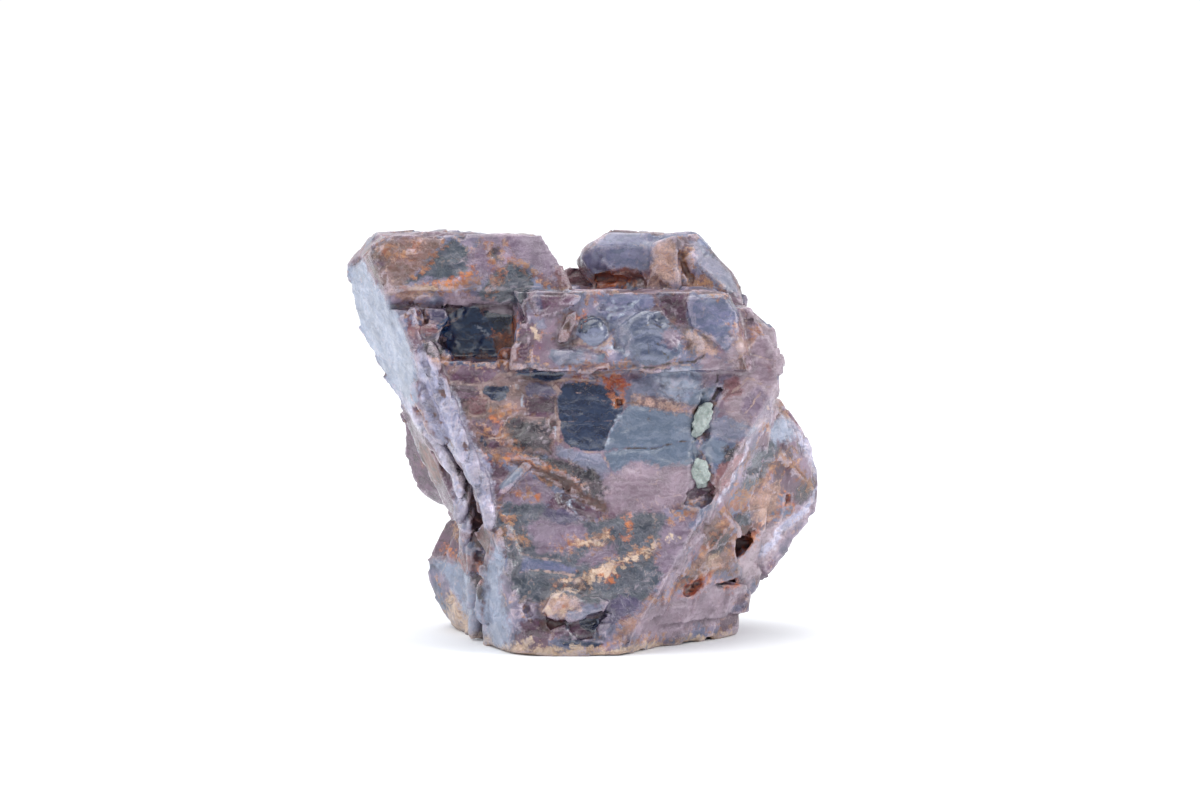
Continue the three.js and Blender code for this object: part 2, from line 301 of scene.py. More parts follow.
def buildCluster():
    cluster = copyNode("spinel_crystal", "spinelCluster")
    grown, cutters = [], []
    for made, key in ((grown, "growths"), (cutters, "scoops")):
        for face, x, z, out, size, turn in clusterSettings[key]:
            made.append(lump(onFace(face, x, z, out), size, faces[face]["normal"], slanted(turn)))
    for x, z, out, size, turn in clusterSettings["pits"]:
        hit, normal = seenAt(cluster, x, z)
        cutters.append(lump(hit + normal * out, size, normal, slanted(turn)))
    for x, z, size, turn in clusterSettings["fills"]:
        grown.append(lump(seenAt(cluster, x, z)[0], size, facing(-20, 0), slanted(turn)))
    for face, low, high, outline in clusterSettings["plates"]:
        grown.append(plate(face, pointsOf(outline), low, high))
    for wide, high, points in clusterSettings["ribs"]:
        grown.extend(ridge(pointsOf(points), wide, high))
    crest = [seenAt(cluster, x, z)[0] for x, z in pointsOf(clusterSettings["crest"])]
    grown.extend(ridge(crest, *clusterSettings["crestSize"]))
    for cutter in cutters:
        carve(cluster, cutter)
    joinAll(cluster, grown)
    cluster.data.remesh_voxel_size = clusterSettings["voxel"]
    cluster.data.use_remesh_fix_poles = False
    pick(cluster)
    bpy.ops.object.voxel_remesh()
    print("cluster remeshed:", len(cluster.data.vertices), "vertices,", len(cluster.data.polygons), "faces")
    return cluster


cluster = buildCluster()


# What each part of the surface is: patches drawn on the front, seen from straight ahead, in mm.

# finish, lift in mm, edge width in mm, outline
frontPatches = [
    # the front face under the ledge: plum facets, blue-black windows and the steel sheet
    ("earth", 0.0, 0.6, "-15.6,28.9 -4.2,28.8 -4,22 -5,19.8 -11.6,19.4 -12.8,22 -14.4,24.8"),
    ("plum", 0.1, 0.3, "-15.4,27.7 -14.1,28.9 -12.2,29.1 -9.1,28.8 -9.2,28.1 -10.3,27.9 -12.4,27 "
     "-15.2,27.2"),
    ("plum", 0.1, 0.3, "-15.2,27 -12.7,27 -12.3,26 -13.7,25.2 -14.4,24.5 -15.1,25.9"),
    ("navy", -0.15, 0.3, "-12.3,26.5 -11.8,26.9 -9,27.1 -9.4,26 -10,25.2 -11.1,25.6"),
    ("navy", -0.3, 0.2, "-8.5,28.5 -3.6,28.5 -4.6,27.2 -5.5,27.3 -7.4,27.9 -8.5,27.9"),
    ("violet", 0.0, 0.3, "-7.7,27.2 -5.5,27.1 -4.1,26.1 -5.5,25.6 -7.4,25.8"),
    ("plum", 0.0, 0.3, "-8.1,25.7 -5.9,25.6 -4.2,25.9 -4.5,24 -5.9,23.7 -7.5,24"),
    ("navy", -0.2, 0.35, "-4.1,26.9 -1,27.4 1.2,26.7 2.1,25.5 2.3,24 1.2,22 0.1,20.3 -1.8,20.4 -3.7,20.8 "
     "-4.2,22.7 -4.3,25.3"),
    ("rust", 0.0, 0.3, "-3.6,28.2 -0.7,28 1.2,27.7 -0.7,27.4 -3.6,27.6"),
    ("ember", 0.1, 0.4, "0.3,27.7 1.4,28.1 2.3,28.1 3.1,26.9 2.3,25.8 1.2,26.1 0.3,27"),
    ("ember", 0.0, 0.3, "1.2,26 2.3,26 2.5,25.2 1.7,24.6 1.2,25.2"),
    ("rose", 0.1, 0.2, "-13.6,25.5 -11.8,25.6 -11.8,24.2 -13.3,24.2"),
    ("rust", 0.1, 0.4, "-11.3,24.8 -8.9,24.7 -8.8,23.8 -10.3,23.7 -11.1,24"),
    ("plum", 0.15, 0.4, "-13.1,23.7 -10.9,23.8 -9.6,23.3 -9.5,21.6 -11.2,21.4 -12.7,22.6"),
    ("navy", 0.0, 0.2, "-12.2,21.7 -11.8,21.8 -11.4,20.5 -11.8,20.2"),
    ("plum", 0.0, 0.3, "-11.4,21.4 -9.7,21.7 -8.9,20.4 -11.2,20.2"),
    ("olive", -0.1, 0.5, "-9.8,23 -8.8,23.9 -7.2,23.3 -5.6,23.6 -4.5,22.4 -5.2,21.2 -5,20 -7,20.4 "
     "-8.8,19.8 -9.4,21.2 -8.9,22.2"),
    ("mauveSteel", 0.0, 0.5, "-4.6,20.5 -0.1,20.2 1.2,17.8 -0.6,18.4 -4.6,19.5"),
    ("steel", 0.1, 0.3, "2.9,24.9 7.5,24.4 9.7,24.2 9.8,21 2.1,20.4 -0.1,20.2 1.2,22 2.3,24"),
    ("steel", 0.0, 0.3, "0.1,20.1 2.3,20.4 9.7,21.1 10.1,19.6 8.6,18.7 6,18.7 3.6,19.1 1.4,18"),
    ("peach", 0.1, 0.4, "2.9,25.7 6.6,25.4 9.9,24.8 9.6,24.1 7.5,24.4 3.3,24.9"),
    ("mauveSteel", 0.2, 0.5, "2.9,26.9 4,27.7 6.1,27.7 6.8,25.5 3.1,25.7"),
    # pale frosted band under the ledge, partly painted light
    ("frostAndSheen", 0.3, 0.5, "6.1,28.1 7.6,28.6 10.2,28.9 10.4,26.7 8.7,25.5 6.8,25.5"),
    ("navy", -0.1, 0.2, "6.4,28.7 7.6,28.6 7.6,27.6 6.6,27.8"),
    ("steel", 0.1, 0.3, "6.8,25.5 8.7,25.5 10.5,26.7 11.7,26.9 10.9,25.1 9.8,24.8"),
    ("pink", 0.1, 0.8, "0.8,17.8 3.6,19.1 6,18.7 8.6,18.7 10.1,17.6 9.4,15.8 6,14.4 3.1,14 0.8,14.4 "
     "0.4,15.1"),
    # the diagonal break, with its stained edge, a painted shadow line along the step, and the glassy hollow
    # under it
    ("olive", 0.0, 0.5, "-9.4,20.2 -6.4,19.9 -3,19 -0.4,18.2 1.2,16.9 1,14.8 -1.4,16 -4,17.4 -6.4,18.6"),
    ("rust", -0.1, 0.8, "-12,19.9 -8.6,19.8 -6.2,19 -4,17.7 -1.4,16.6 -4.6,16.9 -6.9,18.2 -9.9,19.1"),
    ("brick", -0.2, 0.6, "-8.6,19.2 -6.8,18.8 -4,17.7 -1.9,16.5 0.6,14.9 0.3,14.3 -1.9,15.4 -4.6,16.9 "
     "-7,18.1"),
    ("shade", -0.1, 0.3, "-7.6,18.9 -5.6,18.4 -3.2,17.5 -1.2,16.4 0.8,14.9 0.3,14.2 -1.9,15.6 -3.8,16.6 "
     "-6,17.8"),
    ("steel", 0.15, 0.2, "-10.6,16.2 -9.9,17.3 -8.1,18.7 -7.4,18.5 -8.4,17.7 -9.5,16.7"),
    ("plum", 0.0, 0.3, "-12,19.4 -9.9,18.9 -9.2,18 -10.5,16.6 -11.4,17.6"),
    ("mauve", 0.2, 0.5, "-9.3,16.5 -7.7,18 -6.2,17.6 -4.3,15.8 -5.5,14.9 -8.4,14.9"),
    ("plum", -0.2, 0.5, "-5.5,14.9 -4.3,16.3 -1.9,15.5 0.5,14 -1,13.5 -4.3,14"),
    ("violet", -0.1, 0.4, "-5.7,14.6 -3.2,14.6 -1.6,13.8 -3.6,13 -5.4,13.6"),
    # the lower front: dark slate with mauve fields, crossed by grainy veins; the recess under the lip is
    # darkened with painted shade
    ("slate", 0.0, 0.6, "-10.6,13.4 -9.4,15.2 -6,15.2 -4.3,14 -9,12"),
    ("slate", 0.0, 0.6, "-10.4,12.9 -8.6,14.6 -4.3,14.4 -0.6,13 2.7,14.3 6.6,14.3 9.3,11.7 6.7,7.8 4.5,5.3 "
     "0.5,5.3 -5.8,5.3 -8,5.4 -9.3,7.9 -9.7,11.3"),
    ("mauve", 0.1, 0.6, "-7.3,12.7 -5.4,13.8 -1.9,13.2 -1.2,11.2 -3.2,10 -6.2,10.3"),
    ("mauve", 0.1, 0.6, "6.6,13.4 9.9,14.2 8.6,9.9 6.5,7.6 5.4,9.9"),
    ("mauve", 0.1, 0.4, "-1,10.6 1.4,11 1.6,9.6 -0.6,9 -2.4,9.2"),
    ("dusk", -0.1, 0.2, "-7.6,10 -5.4,9.6 -2.5,8.5 -2.5,8 -5.8,8.5 -8,8.4"),
    ("slate", 0.1, 0.3, "2.9,12.3 4.7,13.4 6.6,13.7 6.2,12.6 4.5,11.5 3.2,11.4"),
    ("peach", 0.25, 0.4, "-5.8,4.5 -4.5,5.9 -3.2,6 -1.9,5.3 -2.1,4.6 -3.9,3.7 -5.4,3.9"),
    ("mauveSteel", 0.2, 0.3, "-1.9,5.3 0.6,5.3 -0.1,4.2 -2.5,3.5 -3.8,3.7"),
    ("plum", -0.2, 0.3, "-8.2,3.4 -6.1,3.9 -3.4,3.5 -1,3.5 0.5,4 0.4,2.6 -0.8,1.9 -3.6,1.7 -5.8,1.6 "
     "-7.8,2"),
    ("shade", -0.1, 0.4, "-5.8,3.6 -3.7,3.3 -3.8,2.4 -5.6,2.4"),
    ("navy", -0.3, 0.3, "-2.2,3.6 0.1,3.9 0.3,2.8 -0.6,2.1 -2,2.6"),
    ("slate", -0.1, 0.3, "-2.7,2.8 -0.6,2.1 -1.7,1.6 -3.9,1.4"),
    ("violet", 0.0, 0.3, "0.3,5.3 2.3,5.7 4.1,5.3 3.4,4.2 0.5,2.5 0.1,3.9"),
    ("navy", 0.0, 0.3, "-4.3,1.2 -1.4,1.5 0.8,1.6 -0.6,0.9 -3.6,0.7"),
    ("cream", 0.2, 0.3, "-8.3,1.6 -6.9,2 -6.6,1.1 -7.6,0.8"),
    ("pink", 0.1, 0.3, "11.6,15.3 10.1,12.1 7.3,8.1 4.7,5.3 2.7,2.8 0.8,1.2 2.7,1.2 4.5,3.2 5.6,4.9 "
     "8.4,7.8 10.4,11.7 12.2,13.9"),
    ("peach", 0.0, 0.4, "1.2,1.6 2.7,3 4.4,4.4 4.1,3.5 3,1.6"),
    # the cap
    ("violet", 0.0, 0.3, "-6.6,36.4 -5.8,36.4 -5.6,34.4 -6.2,34.4"),
    ("plum", 0.0, 0.4, "-7.2,36.4 -3.1,36.6 -2.8,34.9 -3.9,34.2 -6.5,34.3 -7.4,35.1"),
    ("plum", 0.0, 0.4, "-8.5,34.5 -7.4,35.1 -7.1,32.1 -8,29.6 -8.5,30.3"),
    ("brick", 0.2, 0.2, "-3.4,34.6 -2.1,34.2 -2.9,31.8 -4,31.2 -4.2,31.9"),
    ("lens", 0.0, 0.25, "-2,33.6 -0.6,34 0.7,33.1 0.7,32 -0.6,31 -2,31.4 -2.6,32.3"),
    ("navy", -0.1, 0.3, "-2.2,33.4 -1,34.1 0.5,33.6 0.2,33 -0.9,33.1 -1.6,32.4 -2.4,32.4"),
    ("seam", 0.0, 0.2, "-2.5,32 -0.6,30.9 0.8,31.9 1,32.8 1.2,31.8 -0.5,30.5 -2.7,31.5"),
    ("mauveSteel", 0.0, 0.2, "-6.5,33.7 -5.4,33.6 -5.5,32.7 -6.4,32.7"),
    ("mauveSteel", 0.1, 0.3, "-5.2,30.7 -2,31 0.2,30.3 0.9,29.4 -2.8,28.9 -5,29.2"),
    ("pink", 0.0, 0.2, "-1.7,30.3 -0.7,30.4 -0.5,29.5 -1.6,29.4"),
    ("steel", 0.0, 0.2, "-0.5,30.3 0.5,30.2 0.5,29.4 -0.4,29.3"),
    ("dusk", -0.1, 0.3, "-0.4,36.4 5.4,36.4 5.6,35.1 3.9,33.6 1.7,32.9 0.2,34.5"),
    ("lens", 0.0, 0.3, "2.8,33.6 3.9,34.3 6.1,34.3 8.4,32.7 9.1,31.4 8.4,29.9 6.5,29.1 3.9,29 2.8,30.3 "
     "1.7,30.3 1.3,32.1 2,32.9"),
    ("mauve", 0.0, 0.4, "6.5,32.7 8.4,32.5 8.9,31.2 7.6,30.3 6.5,31.2"),
    ("mauveSteel", 0.0, 0.2, "1.5,32.5 2.6,32.9 3,31.4 2.6,30.3 1.7,30.5"),
    ("plum", 0.0, 0.5, "6,36.3 8.8,36.3 9.1,33 7.6,33.2 6.1,34.7"),
    ("brick", -0.1, 0.3, "7.1,33.6 8,33.6 8.3,32.6 7.4,32.9"),
    ("dusk", 0.2, 0.3, "9.1,36.6 12.1,36.6 14,34.9 14.5,31.8 12.8,30.5 11.3,31.9 9.3,32.9 8.9,34.5"),
    ("peach", 0.3, 0.4, "9.1,32.3 11.3,31.8 11.7,30.3 9.8,30.3 8.9,31.4"),
    ("shade", -0.1, 0.2, "8.8,31.5 9.5,31.2 9.4,30.4"),
    # the upper left block and its pocket
    ("earth", 0.0, 0.6, "-24.6,39.9 -22.5,42 -18.4,42.2 -16.2,41.9 -16.2,41 -18.4,39.1 -20.3,37.5 "
     "-21.5,35.9 -23.1,37.5"),
    ("plum", 0.0, 0.4, "-23.9,39.9 -22.2,39.7 -22.2,39.1 -24.1,38.9"),
    ("slate", 0.0, 0.3, "-15.6,41.8 -13.8,41 -13.1,39.4 -13.8,37.8 -16.1,37.6 -18.4,37.8 -20.2,36.9 "
     "-20.4,37.4 -18.4,39.3 -16.4,40.9"),
    ("slate", 0.0, 0.3, "-12.6,36.2 -11,38.6 -9.2,39.3 -7,38 -6.8,36.1 -7.6,34.4 -10.4,34.9 -12.6,35.5"),
    ("olive", 0.0, 0.3, "-11.7,40.6 -10.3,41.3 -10.5,39.8 -9.7,39.2 -10.4,38.9 -11.6,39.7"),
    ("mauve", 0.0, 0.4, "-13.6,39.7 -12.7,41 -11.7,41.3 -11.7,39.7 -10.8,39.1 -11.2,38.1 -12.3,37.6 "
     "-13.6,38.3"),
    ("mauve", 0.0, 0.4, "-9.5,42.2 -6.3,42.2 -5.4,41.6 -3.6,39.7 -3.6,37 -5.7,38 -8.9,39.2 -10.3,41.3"),
    ("rust", 0.0, 0.5, "-20.4,36.9 -16.8,37.4 -14.6,37.6 -13,38.6 -12.6,37.2 -15.2,36.6 -18,36.3"),
    ("peach", 0.0, 0.5, "-21.8,36.1 -19.6,37.3 -17.7,37.2 -16.8,36.2 -18.3,35.8 -20.2,35.3"),
    ("pink", 0.0, 0.4, "-16.1,35.8 -13.6,36.1 -10.4,35.6 -8.2,34.8 -8.3,33.4 -10.4,33.4 -12,34.4 -13.6,35 "
     "-15.2,35"),
    ("mauveSteel", 0.0, 0.3, "-18,35.5 -16.1,35.9 -15.2,35.3 -17.4,35"),
    ("violet", 0.0, 0.2, "-17.8,34.7 -15.9,34.9 -15.4,33.8 -16.2,33.2 -17.5,33.2 -18,33.8"),
    ("plum", 0.0, 0.3, "-19.7,33.4 -18.2,33 -17.8,31 -18.8,29.8 -19.5,31.2"),
    ("plum", 0.0, 0.2, "-20.2,34.9 -19.2,35.4 -18.6,34.7 -19.4,34.4"),
    ("plum", 0.0, 0.2, "-19.4,34.1 -18.3,34.4 -18.1,33.5 -19.2,33.6"),
    ("window", 0.0, 0.3, "-16.8,33 -14.2,34.9 -12.6,34.2 -11.2,32.6 -11,31 -10.2,29 -15.4,28.8 -16.2,31.2"),
    ("navy", 0.0, 0.3, "-12.2,34 -9,33.6 -9,32.4 -10.4,30.8 -11.2,32"),
    ("brick", 0.0, 0.3, "-11.1,31.1 -9.4,32.4 -8.6,32.6 -8.4,28.6 -10.8,28.8 -10.6,29.6"),
    ("rose", 0.0, 0.2, "-19.6,33.3 -18.3,32.8 -18.8,31.6 -19.6,32"),
    ("rose", 0.0, 0.2, "-18.4,32.8 -16.1,33 -16.5,32.2 -17.5,31.7 -18.6,32.4"),
    ("olive", 0.3, 0.4, "-17.8,31.2 -16.5,31.4 -15.3,30.6 -15.3,29.5 -16.5,29.2 -17.8,30.1"),
    # the block behind the cap
    ("dusk", 0.0, 0.3, "-1.9,39.9 1,42.4 6.1,42.4 6.1,39.7 5.3,38.6 3.2,38.8 0.2,38.2 -1.3,37.6 -1.9,39"),
    ("brick", -0.2, 0.4, "-1.2,37.4 0.4,38.3 3,38.6 5.2,38.2 5.2,36.6 -0.8,36.6"),
    ("ember", -0.3, 0.4, "-1,37.4 1,38 2.9,37.6 3.5,36.6 -0.6,36.6"),
    ("navy", 0.2, 0.3, "2.8,38.5 4.4,38.6 4.7,38 3.7,37.5 2.9,37.8"),
    ("peach", 0.1, 0.3, "6.1,41.1 7.6,41.2 8.3,39.3 8.9,36.8 5.3,36.8 5.4,38.4 6,39.7"),
    ("rust", -0.4, 0.5, "8.1,40.5 9.3,40.7 9.7,39.3 10.7,38 12.4,36.7 9.5,36.7 8.6,38"),
    ("mauveSteel", 0.0, 0.4, "9.5,41.8 11.6,40.7 13,38.4 14.1,37.6 14.3,35.9 12.8,36.7 10.7,38.4 9.9,39.7"),
    ("olive", 0.0, 0.3, "11.6,40.7 12.9,39.9 13,39.1 11.8,39.7"),
    ("plum", 0.0, 0.4, "12.2,36.7 13.7,35.9 15.3,34.6 14.3,34.4 13.2,35.5"),
    ("rose", 0.0, 0.4, "-4.6,39 -1.3,38.8 -1,36.4 -4.2,36.4"),
    # the right flank and the shoulder
    ("mauveSteel", 0.0, 0.4, "10.7,23 12.8,23.9 14.8,23.2 16.8,22.3 13.9,21.2 10.9,22.1"),
    ("steel", 0.0, 0.3, "10.3,20.8 11.6,21.7 13.2,21.2 12.5,19 10.7,19"),
    ("olive", 0.0, 0.3, "12.5,19 12.7,20.8 14.1,20.8 14.1,19.4 13.2,18.8"),
    ("rose", 0.0, 0.4, "10.9,17 12,18.8 14.3,19.9 15,19.9 13.6,16.8 12.2,15 10.9,15.7"),
    ("plum", -0.1, 0.4, "9.6,15.4 10,16.8 10.9,17 11.6,16.3 11.3,15.3"),
    ("shell", 0.0, 0.8, "12.4,33.4 15.4,34.4 18.4,32.6 18.6,24 16.8,21.9 13.6,22.4 12.6,26 13.2,29"),
    ("pink", 0.0, 0.5, "13.3,32.7 15.1,33.1 17.9,32.4 18.2,30.6 17.9,29 15.6,29 13.5,30.6"),
    ("pink", 0.0, 0.5, "15.1,29.9 16.5,29.7 18.1,27.4 17.9,25.8 16.5,26.9"),
    ("mauve", 0.0, 0.6, "14.7,25.8 16.5,26.5 17.9,25.1 17.9,23.7 16.1,22.8 14.4,24.2"),
    ("pink", 0.1, 0.4, "9.8,29.9 11.4,30.2 13.3,29.2 13.3,27.9 11.7,27.4 10.5,26.9"),
    ("plum", 0.0, 0.4, "14.7,34 16.8,33.2 16.6,32.5 14.9,32.7"),
    ("brick", -0.2, 0.5, "14,29.8 15.2,29.8 15.5,28.7 14.5,28.1"),
    ("peach", 0.0, 0.4, "14,32 15.8,31.6 15.5,30.2 14,30.4"),
    ("rose", 0.0, 0.3, "12.2,27.4 13.8,27.8 14.7,26.2 12.8,25.6"),
    ("rose", 0.0, 0.3, "16.2,28.6 17.6,28.9 17.9,27 16.6,26.8"),
    # the wing, with painted highlights along its rims
    ("paleToneAndHighlight", 0.0, 0.4, "20.6,22.6 22.8,19.6 23.8,16.4 23.1,16 21.8,19 20,21.8"),
    ("slate", 0.0, 0.4, "14.2,16 15.8,19.3 18.6,21.1 19,19.3 17.2,17.4 14.6,15.5"),
    # frost on the wing, partly a painted sheen
    ("frostAndSheen", 0.0, 0.5, "17.4,21.6 19,23.2 20.4,22.5 20.4,20.6 18.6,20"),
    ("peach", 0.1, 0.6, "15.6,14.6 17.2,16 19,16.2 19.1,13.7 17.2,11.8 15.6,12.3"),
    ("rust", 0.0, 0.6, "16.7,13 18.6,14.6 19.2,13.2 17.2,11.6"),
    ("rust", 0.0, 0.5, "13,14.1 13.9,15.5 15.3,16.2 15.8,14.8 14.2,13.2"),
    ("ember", -0.1, 0.3, "19.1,13.7 19.3,14.8 20.2,15.1 20.2,14.1 19.8,13.4"),
    ("olive", 0.0, 0.6, "20.4,14.6 20.9,16 22.8,16.2 22.5,15.1 21.4,13.7"),
    ("olive", 0.0, 0.5, "20.4,20.2 21.3,20.6 22.3,19.3 21.4,19.3"),
    ("slate", 0.0, 0.4, "13.7,13 14.9,13.4 15.8,12 15.3,11.6 13.9,11.8"),
    ("brick", -0.1, 0.3, "13.4,12 16.9,12.1 16,9.8 14.4,8.2 13.8,8.8"),
    ("ember", -0.1, 0.3, "15.4,10.6 16.7,11.8 16.3,10 15,8.8"),
    ("shell", 0.0, 0.5, "16.7,11.1 20.5,13 22.5,14.1 22.7,13 19.1,9.5 16.3,5.7 15.4,5.2 14.4,6.4 14.7,8.5"),
    # painted highlight along the wing's lower rim, over pale stone
    ("paleToneAndHighlight", 0.0, 0.4, "16.6,7.6 19.6,10.6 22.6,13.4 23.2,15.6 22,14.2 19.4,11.8 16.8,9"),
    # the toe and the slab
    ("earth", 0.0, 0.7, "10.9,13.2 12,14.1 13.1,12.8 13.8,9.7 13.1,7.3 10.8,6.9 8.3,5.8 7.2,6 9.5,9.1"),
    ("olive", 0.0, 0.5, "10.6,10.4 11.7,12 13.3,11.4 13.5,9.9 11.7,9.2"),
    ("peach", 0.0, 0.5, "9.8,8.8 11,9.6 12.6,9 12.4,8 10.6,7.6"),
    ("slate", 0.0, 0.3, "7.5,6.2 8,7.6 9.5,7.9 9.3,6.7"),
    ("pink", 0.0, 0.4, "4,4.5 6.7,5.4 8.5,5.8 11.5,6 15.6,6.2 15.6,4.9 13.9,4.2 13.7,2.5 8.5,1.2 4,1"),
    ("violet", 0.0, 0.5, "4,1.7 6.7,2.7 10.8,3.4 15.2,3.6 15,2.8 8.5,2.1 4.9,1.1"),
    ("ember", 0.0, 0.4, "8.3,5.4 9.2,6.7 11.5,7.1 10.8,5.8 9.4,4.9"),
    ("shade", 0.0, 0.4, "8.6,5.6 9.3,6.2 10.2,6.4 9.6,5.6"),
    ("ember", 0.0, 0.4, "12.4,5.9 13.7,6.9 14.6,6 13,5.3"),
    # the left flank: pale smooth face, its frost partly a painted sheen of the lit side; raised strip, pale
    # partly by painted highlight, and ribs; darker lumps behind
    ("frostAndSheen", 0.0, 0.4, "-27,38.8 -25.2,39.8 -24,38 -21.7,35.4 -20.3,33.4 -19.4,31.1 -19,29.2 -18.9,26.8 "
     "-18.4,25 -22.6,23.6 -24.6,26 -26,30.8 -27,33.7"),
    ("paleToneAndHighlight", 0.0, 0.35, "-18.6,31.2 -16.1,27.7 -14.4,25.4 -13.4,22.8 -12.4,20.4 -11.1,18.3 -10.5,15.8 "
     "-10.4,13 -11.7,12.4 -12.6,14.4 -12.7,16.8 -14.2,18.9 -15.1,19.6 -16.4,20.2 -17.3,22.1 -18.1,24.3 "
     "-18.9,26.4"),
    ("paleToneAndHighlight", 0.0, 0.3, "-22,26.2 -19.8,24.6 -17.4,21.6 -15.3,19.2 -14.3,16.7 -13.7,14.2 -13.5,11.8 "
     "-14.4,11.8 -15.4,16.7 -16.5,19.2 -17.9,20.8 -20,23.2"),
    ("plum", 0.0, 0.5, "-24,22.5 -21.5,24.5 -19.5,23.2 -17.4,20.4 -15.6,17.4 -15,14.6 -15.8,12.6 -19,13.2 "
     "-23,17"),
    ("brick", 0.0, 0.5, "-19.6,20.6 -17.8,20 -16.4,17.8 -16.8,16.2 -19,17.6"),
    ("slate", 0.0, 0.4, "-21.4,21 -20.4,20.6 -18.6,16.6 -16.4,14.2 -17.6,14.2 -20,17"),
    ("olive", 0.0, 0.5, "-16.2,20.2 -15.1,19.4 -14.2,18.8 -12.8,15.9 -12.8,14.2 -13.9,11.8 -14.5,16.7"),
    ("brick", 0.0, 0.5, "-14,16.6 -13,15.6 -12.4,13.6 -11.2,11.8 -11.4,9.4 -13.5,10.6"),
    ("rust", 0.0, 0.4, "-19,24.4 -18,24.6 -16.9,22.4 -17.6,22.6"),
    ("plum", 0.0, 0.6, "-15.1,13.4 -17.4,10.5 -17.6,8.2 -15.1,7.8 -14.5,10.5"),
    ("rose", 0.0, 0.4, "-14.7,9.1 -12,9.1 -12,7 -14.3,7.2"),
    ("olive", 0.0, 0.4, "-13.5,7 -12,6.8 -12,4.9 -13.3,5.1"),
    # frost on the foot of the left flank, partly a painted sheen
    ("frostAndSheen", 0.0, 0.5, "-17.6,7.4 -14.7,7.4 -13.9,6.8 -12,4.7 -11.8,0.4 -13.1,1 -14.7,2.4"),
    ("frostAndSheen", 0.0, 0.4, "-11,11.5 -10,10.9 -9.8,8.9 -10,5.5 -8.8,1 -11.4,0.2 -12,4.7 -11.8,7.8"),
    # along the foot
    ("cream", 0.0, 0.4, "-16.4,4.2 -14.9,3.4 -13.6,2.2 -12,1.3 -8.4,1.2 -4,0.8 2,0.8 8,0.7 14,0.7 14,-1 "
     "-16.4,-1"),
]

